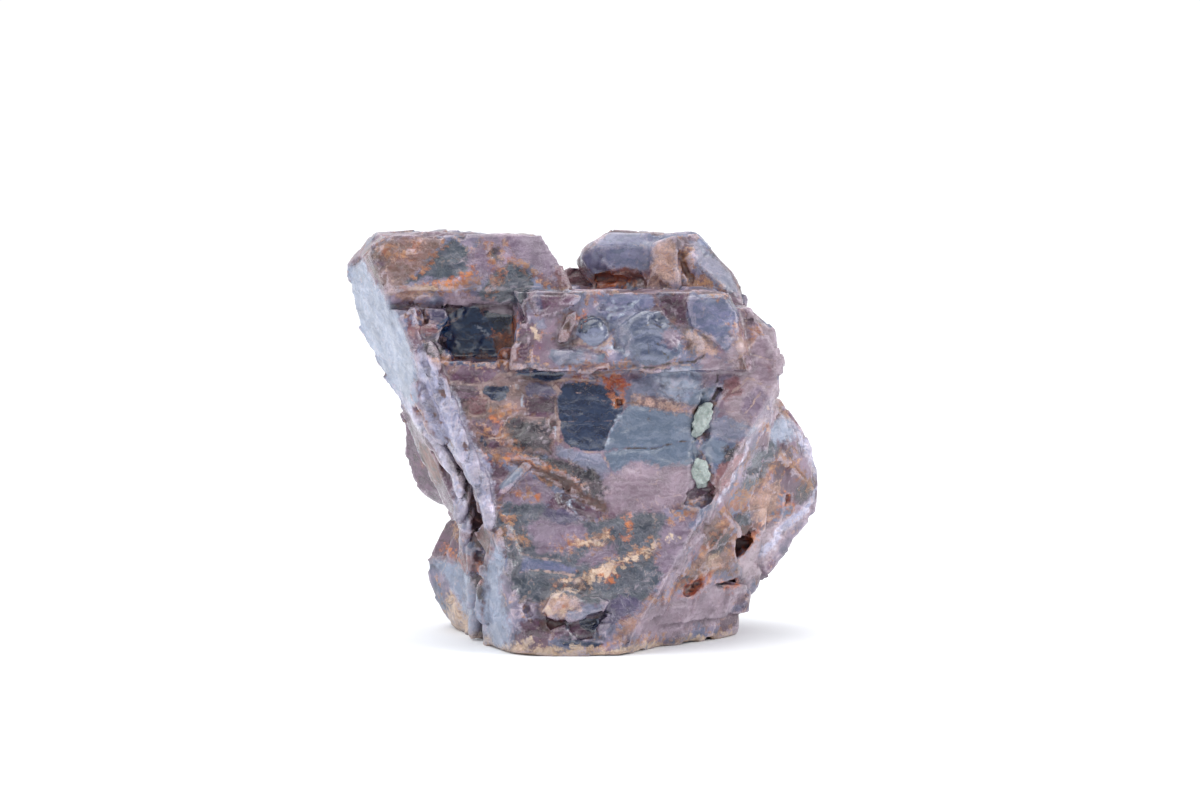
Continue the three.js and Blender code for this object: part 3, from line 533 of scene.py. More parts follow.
# thin lines on the front: finish, width in mm, points
frontVeins = [
    ("seam", 0.16, "-15.4,27.1 -12.6,27.1 -11.8,27.3 -10.3,28 -8.5,28 -5.5,27.2 -4,26"),
    ("seam", 0.14, "-13.4,28.6 -12.5,27 -12.2,26"),
    ("seam", 0.15, "-5.2,27.1 -3.6,27.5 -0.6,27.6"),
    ("seam", 0.14, "-4.3,26 -4.5,24.4 -4.3,22.8 -4.4,20.6"),
    ("seam", 0.1, "-8.2,23.9 -5.3,23.4 -4.2,23.2"),
    ("seam", 0.02, "-4,23.2 -1.2,23.4 1.4,23.2"),
    ("seam", 0.0, "-2.6,26.2 -0.4,26 1,25.2"),
    ("seam", 0.12, "-13.7,25.5 -13.4,24.1 -11.7,24.1 -11.3,25.7 -12.4,25.8"),
    ("seam", 0.12, "-11.4,21.3 -9.6,21.6 -9.4,23.4"),
    ("seam", 0.1, "-1.8,20.3 0.1,20.2 1.2,18"),
    ("crack", 0.09, "2.1,20.4 5.1,20.5 9.6,21.1"),
    ("ember", 0.25, "-12.1,19.8 -11.7,19"),
    ("rust", 0.25, "-11,24.6 -10,24.3 -9.2,24.6"),
    ("rust", 0.25, "-9.4,22.6 -8.8,21.2 -8.6,20.2"),
    ("brick", 0.35, "-5,23 -4.6,22.9"),
    ("shade", 0.1, "4.9,23.5 5.1,23.5"),
    ("rust", 0.3, "-10.2,14.3 -9.7,13.6 -8.8,13.4"),
    ("rust", 0.35, "-10.2,12.5 -8.9,11.8 -7.5,11.3"),
    ("rust", 0.25, "-8.3,16.3 -7.1,15.8"),
    ("ember", 0.2, "-6.4,15.7 -6.2,15.4"),
    ("ember", 0.08, "-9.6,19.5 -7.6,18.9 -5.4,18.3 -3.6,17.5"),
    ("rust", 0.15, "-11.6,19.7 -8.6,19.4 -6.4,18.9 -3.8,17.9 -1.4,16.8"),
    ("shade", 0.18, "-9.4,19 -7.4,18.5 -5.2,17.7 -3,16.8"),
    # painted glints in the glassy hollow
    ("paintedGlint", 0.02, "-3.9,15.9 -2.9,14.9 -2.4,14.2"),
    ("paintedGlint", 0.02, "-2.8,15.6 -1.4,14.6"),
    ("ember", 0.3, "2.7,13.9 3.1,13 2.7,11.7"),
    ("rust", 0.45, "-3.4,11 -1,10.9 0.7,11.7"),
    ("cream", 0.14, "-3,11.1 -1.6,10.9 -0.4,11.1"),
    ("cream", 0.12, "-0.8,10.9 0.2,11.3 0.6,11.7"),
    ("rust", 0.2, "-4.5,10.7 -3,10.4"),
    ("rust", 0.5, "-3.8,6.8 -1.6,7.5 -0.1,8.4 2.3,9.4 3.2,10.1 4.5,9.8 5.6,10.7"),
    ("cream", 0.24, "-3.6,7 -1.6,7.5 -0.1,8.4 1,8.7"),
    ("cream", 0.2, "0.4,9 2.3,9.4 3.2,10.1"),
    ("cream", 0.2, "-0.6,7.4 0.6,7.9 2.2,8.6"),
    ("cream", 0.22, "3,9.6 4.5,9.8 5.6,10.7"),
    ("cream", 0.14, "-4.6,5.8 -3.4,6.4 -2.2,6.4"),
    ("cream", 0.16, "-5.2,4.6 -4.2,4.2 -3,4.5"),
    ("ember", 0.4, "0.3,8.1 1.2,8 1.3,7.4"),
    ("rust", 0.35, "7.5,13.6 8.2,14.3 9.2,14.2"),
    ("cream", 0.2, "7,11.6 8,11.7"),
    ("rust", 0.3, "-5.4,5 -4,5.4 -3,5"),
    ("ember", 0.2, "-5,4.4 -3.6,4.6"),
    ("seam", 0.12, "-8,10.2 -5.4,9.7 -4,9.4"),
    ("seam", 0.12, "-8,8.5 -5.8,8.5 -4,8.1 -2.5,7.9"),
    # painted glints in the recess under the lip
    ("paintedGlint", 0.15, "-3,3.4 -3.3,2.1"),
    ("paintedGlint", 0.15, "0.1,4 -0.1,2.4"),
    ("rust", 0.25, "4.9,5.5 6.8,5"),
    ("rust", 0.2, "0.4,1.2 3,0.9 6.4,1.2"),
    ("rust", 0.22, "-9.9,41 -9.6,39.6 -8.9,39.2 -5.7,37.5 -4.2,36.7"),
    ("rust", 0.4, "-22.5,40.8 -21.3,40.6 -20,40.5 -18.7,41.4"),
    ("rust", 0.15, "-19.4,38 -18.1,39.1 -16.2,41"),
    ("rust", 0.25, "-11.4,36.5 -10.4,38.4 -11.1,38.9 -11.6,41"),
    ("ember", 0.05, "-16.4,37.1 -15.2,37.3 -13.2,38.4"),
    ("cream", 0.3, "-19.6,36.9 -18.4,36.7"),
    ("cream", 0.25, "-17.6,36.9 -16.9,36.6"),
    ("rust", 0.25, "-8.6,28.8 -12,29.3 -14.9,29.5 -17.3,29.3"),
    ("rust", 0.25, "-3.6,28.9 0.6,28.8 3,28.9"),
    ("cream", 0.3, "-22.9,34.2 -22,33.1 -21.7,32.5"),
    ("cream", 0.4, "-24.7,30.5 -22.9,30.6 -21,31.2"),
    ("scar", 0.2, "-16.4,26.3 -16.2,25.9"),
    ("scar", 0.2, "-13.8,20.9 -13.6,20.3"),
    ("scar", 0.12, "-17.3,24.3 -16.9,23.6 -16.5,23.1"),
    ("scar", 0.12, "-16.1,21.6 -15.4,21.1 -14.9,20.4"),
    ("ember", 0.25, "-16.4,8.6 -14.9,8"),
    ("ember", 0.3, "-12.5,8.4 -12.3,7.4"),
    ("rust", 0.35, "-15.5,10.8 -15.1,10.2"),
    ("seam", 0.1, "-18.9,31 -17.8,31.3 -16.9,31.9 -15.9,32.8 -14.6,33.6"),
    ("seam", 0.1, "-19.6,34.2 -18.1,33.4 -16.2,33.1"),
    ("rust", 0.14, "-18.2,35 -18.2,33.2"),
    ("ember", 0.2, "-11.1,31.6 -10.3,31.4"),
    ("ember", 0.25, "-8.8,33.6 -9.2,31.8 -10.2,29.6"),
    # painted glints in the pocket, on the front and on the cap
    ("paintedGlint", 0.14, "-12.7,32.4 -11.9,32 -11.4,31.6"),
    ("paintedGlint", 0.06, "-13.8,29.6 -11.8,29.5"),
    ("paintedGlint", 0.0, "-9.5,27.2 -9.3,26.2 -9.5,25.4"),
    ("paintedGlint", 0.06, "-8.3,27.1 -7.9,26 -8.1,24.8 -7.7,24"),
    ("paintedGlint", 0.06, "-4.6,24.6 -4.7,22.4 -4.4,20.2"),
    ("paintedGlint", 0.12, "0.6,20.8 1.5,22.4 2.3,24"),
    ("paintedGlint", 0.1, "0.9,34.9 3.2,35.1"),
    ("paintedGlint", 0.1, "2,34 3,34.9 3.9,35.6"),
    ("paintedGlint", 0.1, "0.9,33.8 1.7,34.5 1.4,35.6"),
    ("paintedGlint", 0.14, "-7,36.4 -2,36.5"),
    ("paintedGlint", 0.14, "-1.3,31 1.3,31 2.6,29.9"),
    ("navy", 0.12, "1.6,35.3 2.2,35.1"),
    ("navy", 0.12, "2.8,35.3 3.5,35.2"),
    ("navy", 0.12, "0.9,34.3 1.5,33.7"),
    ("crack", 0.06, "3.3,31 3.6,29.2"),
    ("crack", 0.06, "4.6,31.2 5.2,29.1"),
    ("crack", 0.06, "5.9,31.2 7.1,29.6"),
    ("crack", 0.07, "4.4,33 5.2,33.4 6.2,33.2 6.6,32.4"),
    ("ember", 0.15, "-2.2,33.6 -1.2,34.2"),
    ("ember", 0.2, "-6,32.2 -5.8,32"),
    ("cream", 0.25, "-6.9,32.9 -6.5,31.8"),
    # a pale line on the right flank, partly a painted highlight
    ("paleToneAndHighlight", 0.14, "15.5,21 14.1,17.9 12.4,15"),
    ("rust", 0.3, "15.3,16.2 17.2,16.9 19,18.3 20.4,18.3"),
    ("rust", 0.35, "13.6,9.8 13.8,11.6 13,13.6"),
    ("rust", 0.3, "10.5,37 12.4,36.4"),
    ("rust", 0.3, "17.2,22.2 18,21"),
    ("rust", 0.4, "19.4,23 21.4,21.4 22.8,18.8 23.2,16.6"),
    ("rust", 0.4, "15.8,15.6 17.6,17.2 19.6,18.6 21.2,17.6 22,15.4"),
    ("rust", 0.3, "16.8,12.6 18.2,12.6 20,12.8"),
    ("rust", 0.3, "10,9.4 11.4,10.6 12.6,12.6"),
    ("rust", 0.3, "8.6,7.6 10.4,8.4 12.4,8.2"),
    ("cream", 0.15, "11,8.6 12.2,9.4"),
    ("ember", 0.05, "-20.4,36.6 -18.4,37.2 -15.4,37.4 -12.8,38.2"),
    ("rust", 0.4, "-11.8,22.8 -10.2,22 -9,20.6 -8.4,19.8"),
    ("ember", 0.05, "-11.4,24.2 -10.4,23.2 -9.6,23.4"),
    ("rust", 0.3, "7,5.8 9.2,7 11.6,7.6"),
    ("crack", 0.1, "12,28.4 11.7,26.8"),
    ("seam", 0.1, "13,29.4 15,30.4 17.8,29.2"),
    ("seam", 0.1, "13.4,26.4 15.2,27.4 18,26.2"),
    ("seam", 0.08, "14.8,24.2 16.2,26 17.4,24.2"),
    ("seam", 0.08, "-19.4,32.2 -18.4,32.8 -17.2,32.6"),
    ("rust", 0.2, "13.8,33 15.2,32.2 16.6,32.6"),
    ("crack", 0.1, "3.2,28.7 6,28.9 9.6,29.4 10.6,30.2"),
    ("seam", 0.12, "3,28.5 6,28.7 9.2,29.1"),
    ("crack", 0.25, "11.5,25.6 12.1,26.6"),
]

def lineDistance(x, z, line):
    nearest = np.full(len(x), farAway)
    for (x0, z0), (x1, z1) in zip(line, line[1:]):
        dx, dz = x1 - x0, z1 - z0
        t = np.clip(((x - x0) * dx + (z - z0) * dz) / (dx * dx + dz * dz), 0, 1)
        nearest = np.minimum(nearest, np.hypot(x - x0 - t * dx, z - z0 - t * dz))
    return nearest


def outlineDepth(x, z, outline):
    # distance inside a closed outline, negative outside
    inside = np.zeros(len(x), bool)
    loop = outline + outline[:1]
    for (x0, z0), (x1, z1) in zip(loop, loop[1:]):
        if z0 != z1:
            inside ^= ((z0 > z) != (z1 > z)) & (x < x0 + (z - z0) * (x1 - x0) / (z1 - z0))
    nearest = lineDistance(x, z, loop)
    return np.where(inside, nearest, -nearest)


def smoothStep(t):
    t = np.clip(t, 0, 1)
    return t * t * (3 - 2 * t)


def readVertices(mesh):
    points = np.empty(len(mesh.vertices) * 3)
    mesh.vertices.foreach_get("co", points)
    normals = np.empty(len(mesh.vertices) * 3)
    mesh.vertices.foreach_get("normal", normals)
    return points.reshape(-1, 3), normals.reshape(-1, 3)


def writeVertices(mesh, points):
    mesh.vertices.foreach_set("co", points.ravel())
    mesh.update()


reliefSettings = {
    "frontLimit": -0.04,     # a surface whose normal's y is under this is seen from the front
    "broadRounds": 6,        # times the normals are smoothed before that
    "warp": 0.5,             # mm that the outlines wander, broadly and finely
    "warpFine": 0.14,
    "facetSpacing": 2.7,     # mm between the middles of the small growth facets
    "facetTilt": 0.075,
    "facetStep": 0.05,
    "patchLift": 0.45,       # share of each patch's lift that is made
    "patchTilt": 0.03,       # spread of the patches' slopes
    "patchLean": 0.7,        # share of each slope that is made
    "patchEdge": 2.2,        # edge widths over which a patch rises
    "toneSpread": 0.35,      # how far a patch's colour goes either way
    "frontFlat": (0.93, 0.05),    # how near a flat place's normal is to the face's, and the softness
    "leftFlat": (0.9, 0.06),
    "calmTilt": 0.2,         # share of the facets' relief left on the big flat faces
    "veinRise": {"seam": -0.06, "crack": -0.12, "scar": -0.1, "paintedGlint": 0.03},      # mm; the others stand proud
    "veinProud": 0.06,
    "veinSide": (0.25, 0.35),     # mm that a vein's side begins outside its edge, and its breadth
    "fieldLimit": 3.0,       # mm, past which a patch's field is not told apart
    "seed": 11,
}
farAway = 1e9


def wander(points, scale, amount, seed):
    # smooth wandering of each point, by the same noise each run
    offset = Vector((seed * 7.3, seed * 3.1, seed * 5.7))
    moved = [noise.noise_vector(Vector(p) * scale + offset) for p in points]
    return points + np.array(moved) * amount


def facetRelief(points, spacing, rng):
    # flat facets at slightly different tilts, as crystals that grew side by side
    low, high = points.min(0) - spacing, points.max(0) + spacing
    count = int(np.prod((high - low) / spacing))
    sites = low + rng.random((count, 3)) * (high - low)
    tilts = rng.normal(0, reliefSettings["facetTilt"], (count, 3))
    steps = rng.normal(0, reliefSettings["facetStep"], count)
    tree = kdtree.KDTree(count)
    for i, site in enumerate(sites):
        tree.insert(site, i)
    tree.balance()
    own = np.array([tree.find(p)[1] for p in wander(points, 0.35, 1.0, 2)])
    return ((points - sites[own]) * tilts[own]).sum(1) + steps[own]


def edgePairs(mesh):
    pairs = np.empty(len(mesh.edges) * 2, np.int32)
    mesh.edges.foreach_get("vertices", pairs)
    return pairs.reshape(-1, 2)


def smoothed(values, pairs, rounds):
    # each value moves to the mean of its neighbours
    count = np.bincount(pairs.ravel(), minlength=len(values))[:, None]
    values = values.copy()
    for _ in range(rounds):
        total = np.zeros_like(values)
        for axis in range(values.shape[1]):
            total[:, axis] = (np.bincount(pairs[:, 0], values[pairs[:, 1], axis], len(values))
                              + np.bincount(pairs[:, 1], values[pairs[:, 0], axis], len(values)))
        values = 0.5 * values + 0.5 * total / count
    return values


def writeField(mesh, name, values):
    layer = mesh.attributes.new(name, "FLOAT", "POINT")
    layer.data.foreach_set("value", values.astype(np.float32))


def flatness(normals, face, limits):
    # 1 where the surface lies along a face, 0 where it has turned away
    return smoothStep((normals @ np.array(faces[face]["normal"]) - limits[0]) / limits[1])


def paintAndRelief(piece):
    how = reliefSettings
    mesh = piece.data
    rng = np.random.default_rng(how["seed"])
    points, normals = readVertices(mesh)
    broadNormals = smoothed(normals, edgePairs(mesh), how["broadRounds"])
    seen = broadNormals[:, 1] < how["frontLimit"]
    drawn = wander(wander(points, 0.28, how["warp"], 1), 1.3, how["warpFine"], 4)
    x, z = drawn[:, 0], drawn[:, 2]
    far = np.full(len(x), -how["fieldLimit"])
    fields = {row[0]: far.copy() for row in frontPatches + frontVeins}
    flat = np.maximum(flatness(broadNormals, "front", how["frontFlat"]),
                      flatness(broadNormals, "left", how["leftFlat"]))
    height = facetRelief(points, how["facetSpacing"], rng) * (1 - (1 - how["calmTilt"]) * flat)
    tone = np.zeros(len(x))
    for finish, lift, edge, text in frontPatches:
        outline = pointsOf(text)
        depth = np.where(seen, outlineDepth(x, z, outline), far)
        tilt = rng.normal(0, how["patchTilt"], 2)
        middle = np.mean(outline, 0)
        lean = (x - middle[0]) * tilt[0] + (z - middle[1]) * tilt[1]
        rise = lift * how["patchLift"] + lean * how["patchLean"]
        height += smoothStep(depth / (edge * how["patchEdge"])) * rise
        fields[finish] = np.maximum(fields[finish], depth)
        tone = np.where(depth > 0, rng.uniform(-how["toneSpread"], how["toneSpread"]), tone)
    side, breadth = how["veinSide"]
    for finish, width, text in frontVeins:
        depth = np.where(seen, width - lineDistance(x, z, pointsOf(text)), far)
        rise = how["veinRise"].get(finish, how["veinProud"])
        height += rise * smoothStep((depth + side) / breadth)
        fields[finish] = np.maximum(fields[finish], depth)
    points = points + normals * height[:, None]
    points[:, 2] = np.maximum(points[:, 2], 0)        # the sole stays on the floor
    writeVertices(mesh, points)
    for name, values in fields.items():
        writeField(mesh, name, np.clip(values, -how["fieldLimit"], how["fieldLimit"]))
    writeField(mesh, "patchTone", tone)
    print("surface drawn:", len(frontPatches), "patches and", len(frontVeins), "veins")


paintAndRelief(cluster)


edgeFields = [("proudFine", 4, 14.0), ("proudBroad", 30, 3.0)]      # name, rounds of smoothing, gain per mm


def markEdges(piece):
    # how far each point stands proud of, or lies below, the surface around it
    mesh = piece.data
    points, normals = readVertices(mesh)
    points[:, 2] = np.maximum(points[:, 2], 0)
    writeVertices(mesh, points)
    pairs = edgePairs(mesh)
    for name, rounds, scale in edgeFields:
        around = smoothed(points, pairs, rounds)
        writeField(mesh, name, np.clip(((points - around) * normals).sum(1) * scale, -1, 1))
    print("edges marked")


def roughen(piece, size, strength):
    # cloudy unevenness: size and strength in mm
    texture = bpy.data.textures.new("grainClouds", "CLOUDS")
    texture.noise_scale = size
    texture.noise_depth = 2
    push = piece.modifiers.new("grain", "DISPLACE")
    push.texture = texture
    push.texture_coords = "LOCAL"
    push.strength = strength
    push.mid_level = 0.5
    pick(piece)
    bpy.ops.object.modifier_apply(modifier=push.name)


roughen(cluster, 5.0, 0.25)
roughen(cluster, 1.0, 0.09)
markEdges(cluster)


def buildGrain(node, name, slant):
    # a waxy broken grain, wedged in the fissure; slant leans its top to the right
    grain = copyNode(node, name)
    points, _ = readVertices(grain.data)
    middle = points.mean(0)
    n = np.array(faces["front"]["normal"])
    spread = points - middle
    thicker = np.outer(spread @ n, n) * grainSettings["thicken"]
    points = middle + spread * grainSettings["spread"] + thicker + n * grainSettings["proud"]
    points[:, 0] += slant * (points[:, 2] - middle[2])
    writeVertices(grain.data, points)
    grain.data.remesh_voxel_size = grainSettings["voxel"]
    pick(grain)
    bpy.ops.object.voxel_remesh()
    soften = grain.modifiers.new("soften", "SMOOTH")
    soften.factor = grainSettings["softness"]
    soften.iterations = grainSettings["softRounds"]
    bpy.ops.object.modifier_apply(modifier=soften.name)
    for size, strength in grainSettings["chips"]:
        roughen(grain, size, strength)
    return grain


grainSettings = {
    "spread": 1.34,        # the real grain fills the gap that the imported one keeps
    "thicken": 0.1,        # share added along the front's normal
    "proud": 0.1,          # mm
    "voxel": 0.07,
    "softness": 0.6,
    "softRounds": 4,
    "chips": [(0.7, 0.75), (0.25, 0.06)],      # size and strength in mm
}
grainUpper = buildGrain("green_grain_upper", "greenGrainUpper", 0.25)
grainLower = buildGrain("green_grain_lower", "greenGrainLower", -0.12)


def toLinear(text):
    # an sRGB hex colour as linear numbers
    values = [int(text[i:i + 2], 16) / 255 for i in (0, 2, 4)]
    return [v / 12.92 if v <= 0.04045 else ((v + 0.055) / 1.055) ** 2.4 for v in values] + [1.0]


def addNode(tree, kind, settings=None, links=None):
    node = tree.nodes.new("ShaderNode" + kind)
    for key, value in (settings or {}).items():
        if isinstance(key, int) or key in node.inputs:
            node.inputs[key].default_value = value
        else:
            setattr(node, key, value)
    for key, socket in (links or {}).items():
        tree.links.new(socket, node.inputs[key])
    return node


perMillimetre = (modelScale, modelScale, modelScale)      # Object coordinates to mm

spinelFinish = {
    # the mass, by growth cell: steel blue, mauve grey, dusk, plum and brown plum
    "ground": [(0.28, "586280"), (0.42, "70687f"), (0.52, "857283"), (0.62, "6a4e62"), (0.72, "503846"),
               (0.8, "7a6878")],
    # noise: name, scale per mm, detail, roughness
    "clouds": [("broad", 0.11, 3, 0.55), ("middle", 0.42, 5, 0.6), ("small", 1.7, 6, 0.6),
               ("fine", 6.0, 5, 0.65)],
    "streaks": [("streaks", 0.8, 5, 0.6), ("thread", 1.5, 8, 0.7)],
    "streakSlant": 24,       # degrees that the streaks lean down to the right, as the growth lines do
    "streakStretch": (0.35, 1.0, 2.6),
    "bends": [("middle", 3.2), ("small", 0.7)],      # noise that bends the cell walls, and mm
    "dotsPerMm": 1.5,
    "stainColours": ("7e4a30", "b98a66"),
    "stainStrength": 0.7,
    "nearWall": (0.22, 0.12),     # mm from a cell wall where stain is thicker, and how much
    "broadStain": 0.35,
    # name, two colours that it drifts between, edge wander, softness in mm, roughness, how clean it is
    "layers": [
        ("earth", "664842", "7e6466", 0.7, 0.35, 0.24, 0.1),
        ("shell", "8a7680", "a6949e", 0.8, 0.5, 0.24, 0.4),
        ("slate", "343d4a", "5a5b67", 0.6, 0.25, 0.18, 0.4),
        ("dusk", "505874", "6c6c8a", 0.4, 0.2, 0.2, 0.6),
        ("lens", "485068", "737992", 0.3, 0.15, 0.12, 0.95),
        ("mauve", "68566a", "877789", 0.7, 0.35, 0.2, 0.5),
        ("mauveSteel", "64697f", "858398", 0.5, 0.25, 0.18, 0.6),
        ("steel", "5a677c", "727c90", 0.35, 0.15, 0.14, 0.85),
        ("olive", "26242e", "4a3f46", 0.7, 0.35, 0.18, 0.2),
        ("plum", "3c2434", "604258", 0.6, 0.2, 0.18, 0.4),
        ("violet", "36324e", "5c546e", 0.5, 0.2, 0.16, 0.5),
        ("rose", "623a42", "865c62", 0.5, 0.2, 0.22, 0.3),
        ("pink", "806c7a", "988694", 0.9, 0.5, 0.22, 0.5),
        ("navy", "121a34", "283652", 0.25, 0.1, 0.1, 0.95),
        ("window", "10244a", "26466e", 0.2, 0.1, 0.08, 0.95),
        ("brick", "3c1a17", "6e3b30", 0.7, 0.3, 0.35, 0.2),
        ("rust", "7a4028", "a27450", 1.4, 0.4, 0.4, 0.2),
        ("peach", "8e6858", "b8968a", 0.9, 0.4, 0.34, 0.2),
        ("ember", "8c3410", "c07038", 1.0, 0.35, 0.34, 0.5),
        ("cream", "a4866e", "ccb5a2", 0.9, 0.2, 0.4, 0.5),
        # frost: a pale frosted bloom, partly a painted sheen where a face catches the light
        ("frostAndSheen", "7c879f", "989eb2", 0.8, 0.4, 0.24, 0.5),
        # bright: pale stone, partly a painted highlight, on the lit left strip and along the rims
        ("paleToneAndHighlight", "8c8ca8", "beb8ca", 0.6, 0.25, 0.24, 0.2),
        # wisp: painted glints, thin pale lines
        ("paintedGlint", "8f9bb2", "b4bccb", 0.3, 0.15, 0.24, 0.8),
        ("scar", "4c2c30", "6e4442", 0.3, 0.08, 0.3, 0.8),
        ("shade", "30120e", "50261c", 0.5, 0.25, 0.4, 0.5),
        ("seam", "b0948a", "8c7474", 0.15, 0.08, 0.4, 0.5),
        ("crack", "2a2024", "33262a", 0.12, 0.06, 0.5, 0.5),
    ],
    # finishes that are broken up, and by which step
    "broken": {"rust": "threaded", "ember": "threaded", "cream": "threaded", "peach": "grainy",
               "seam": "patchy", "paintedGlint": "patchy"},
    "edgeWander": 3,         # mm of wander for each unit of edge and noise
    # smooth steps: name, from, low, high, value at low, value at high
    "steps": [
        ("stain", "stainLevel", 0.78, 0.88, 0.0, 1.0),
        ("half", "fine", 0.4, 0.6, 0.0, 1.0),
        ("drift", "streaks", 0.36, 0.64, 0.0, 1.0),
        ("grainy", "fine", 0.36, 0.56, 0.45, 1.0),
        ("threaded", "thread", 0.38, 0.52, 0.2, 1.0),
        ("patchy", "middle", 0.35, 0.55, 0.3, 1.0),
        ("veil", "thread", 0.6, 0.7, 0.0, 1.0),
        ("fleck", "thread", 0.4, 0.3, 0.0, 1.0),
        ("wallLine", "walls", 0.022, 0.05, 1.0, 0.0),
        ("wallPart", "small", 0.5, 0.6, 0.0, 1.0),
        ("wallTone", "broad", 0.44, 0.5, 0.0, 1.0),
        ("fineLine", "fineWalls", 0.02, 0.07, 1.0, 0.0),
        ("finePart", "middle", 0.56, 0.64, 0.0, 1.0),
        ("fineTone", "small", 0.45, 0.55, 0.0, 1.0),
        # pale proud edges: chipped, and partly a painted highlight
        ("chipsAndHighlight", "proudFine", 0.25, 0.8, 0.0, 1.0),
        ("chipsAndHighlightPart", "fine", 0.35, 0.6, 0.2, 1.0),
        # painted shade: darker where the surface lies below the surface around it, finely and broadly
        ("creaseShade", "proudFine", -0.3, -0.9, 0.0, 1.0),
        ("hollowShade", "proudBroad", -0.3, -1.0, 0.0, 1.0),
        ("dot", "dots", 0.06, 0.12, 1.0, 0.0),
        # pale dots: dust, partly painted glints
        ("dustAndGlint", "dotRed", 0.7, 0.72, 0.0, 1.0),
        ("pinPit", "dotGreen", 0.84, 0.86, 0.0, 1.0),
        ("cloudy", "middle", 0.3, 0.7, 0.6, 1.4),
        ("speckled", "fine", 0.3, 0.7, 0.95, 1.05),
        ("cellLight", "fineRed", 0.0, 1.0, 0.88, 1.12),
    ],
    # marks over all: masks, strength, two colours, what they drift by; clean patches take less of them
    "marks": [
        (("veil",), 0.45, "bdb0be", "bdb0be", "half"),
        (("fleck",), 0.55, "38242f", "38242f", "half"),
        (("wallLine", "wallPart"), 0.55, "b9988c", "3a2a30", "wallTone"),
        (("fineLine", "finePart"), 0.45, "4a3038", "a98d8a", "fineTone"),
        # painted shade in creases and hollows
        (("creaseShade",), 0.4, "46283a", "3c2630", "half"),
        (("hollowShade",), 0.25, "42283a", "42283a", "half"),
        # pale proud edges: chips and a painted highlight
        (("chipsAndHighlight", "chipsAndHighlightPart"), 0.65, "c6b8c2", "b8a6b4", "half"),
        # pale dots: dust, partly painted glints
        (("dot", "dustAndGlint"), 0.6, "c8c2cc", "c8c2cc", "half"),
        (("dot", "pinPit"), 0.8, "40262a", "5a3024", "half"),
    ],
    # growth cells: the names of their walls, tilts and tones, and mm across
    "cells": [("walls", "tilt", "red", 3.1), ("fineWalls", "fineTilt", "fineRed", 1.1)],
    # relief: what it follows and its share
    "relief": [("small", 0.4), ("fine", 0.12), ("streaks", 0.2), ("wallLine", -0.3), ("fineLine", -0.15),
               ("tilt", 0.55), ("fineTilt", 0.35)],
    "reliefDepth": 0.0002,   # metres
    "reliefStrength": (0.6, 0.2),     # on marked and on clean patches
    "ior": 1.72,             # of spinel
    "coat": 0.18,            # the clear skin of a glassy face
    "coatRoughness": 0.14,
}


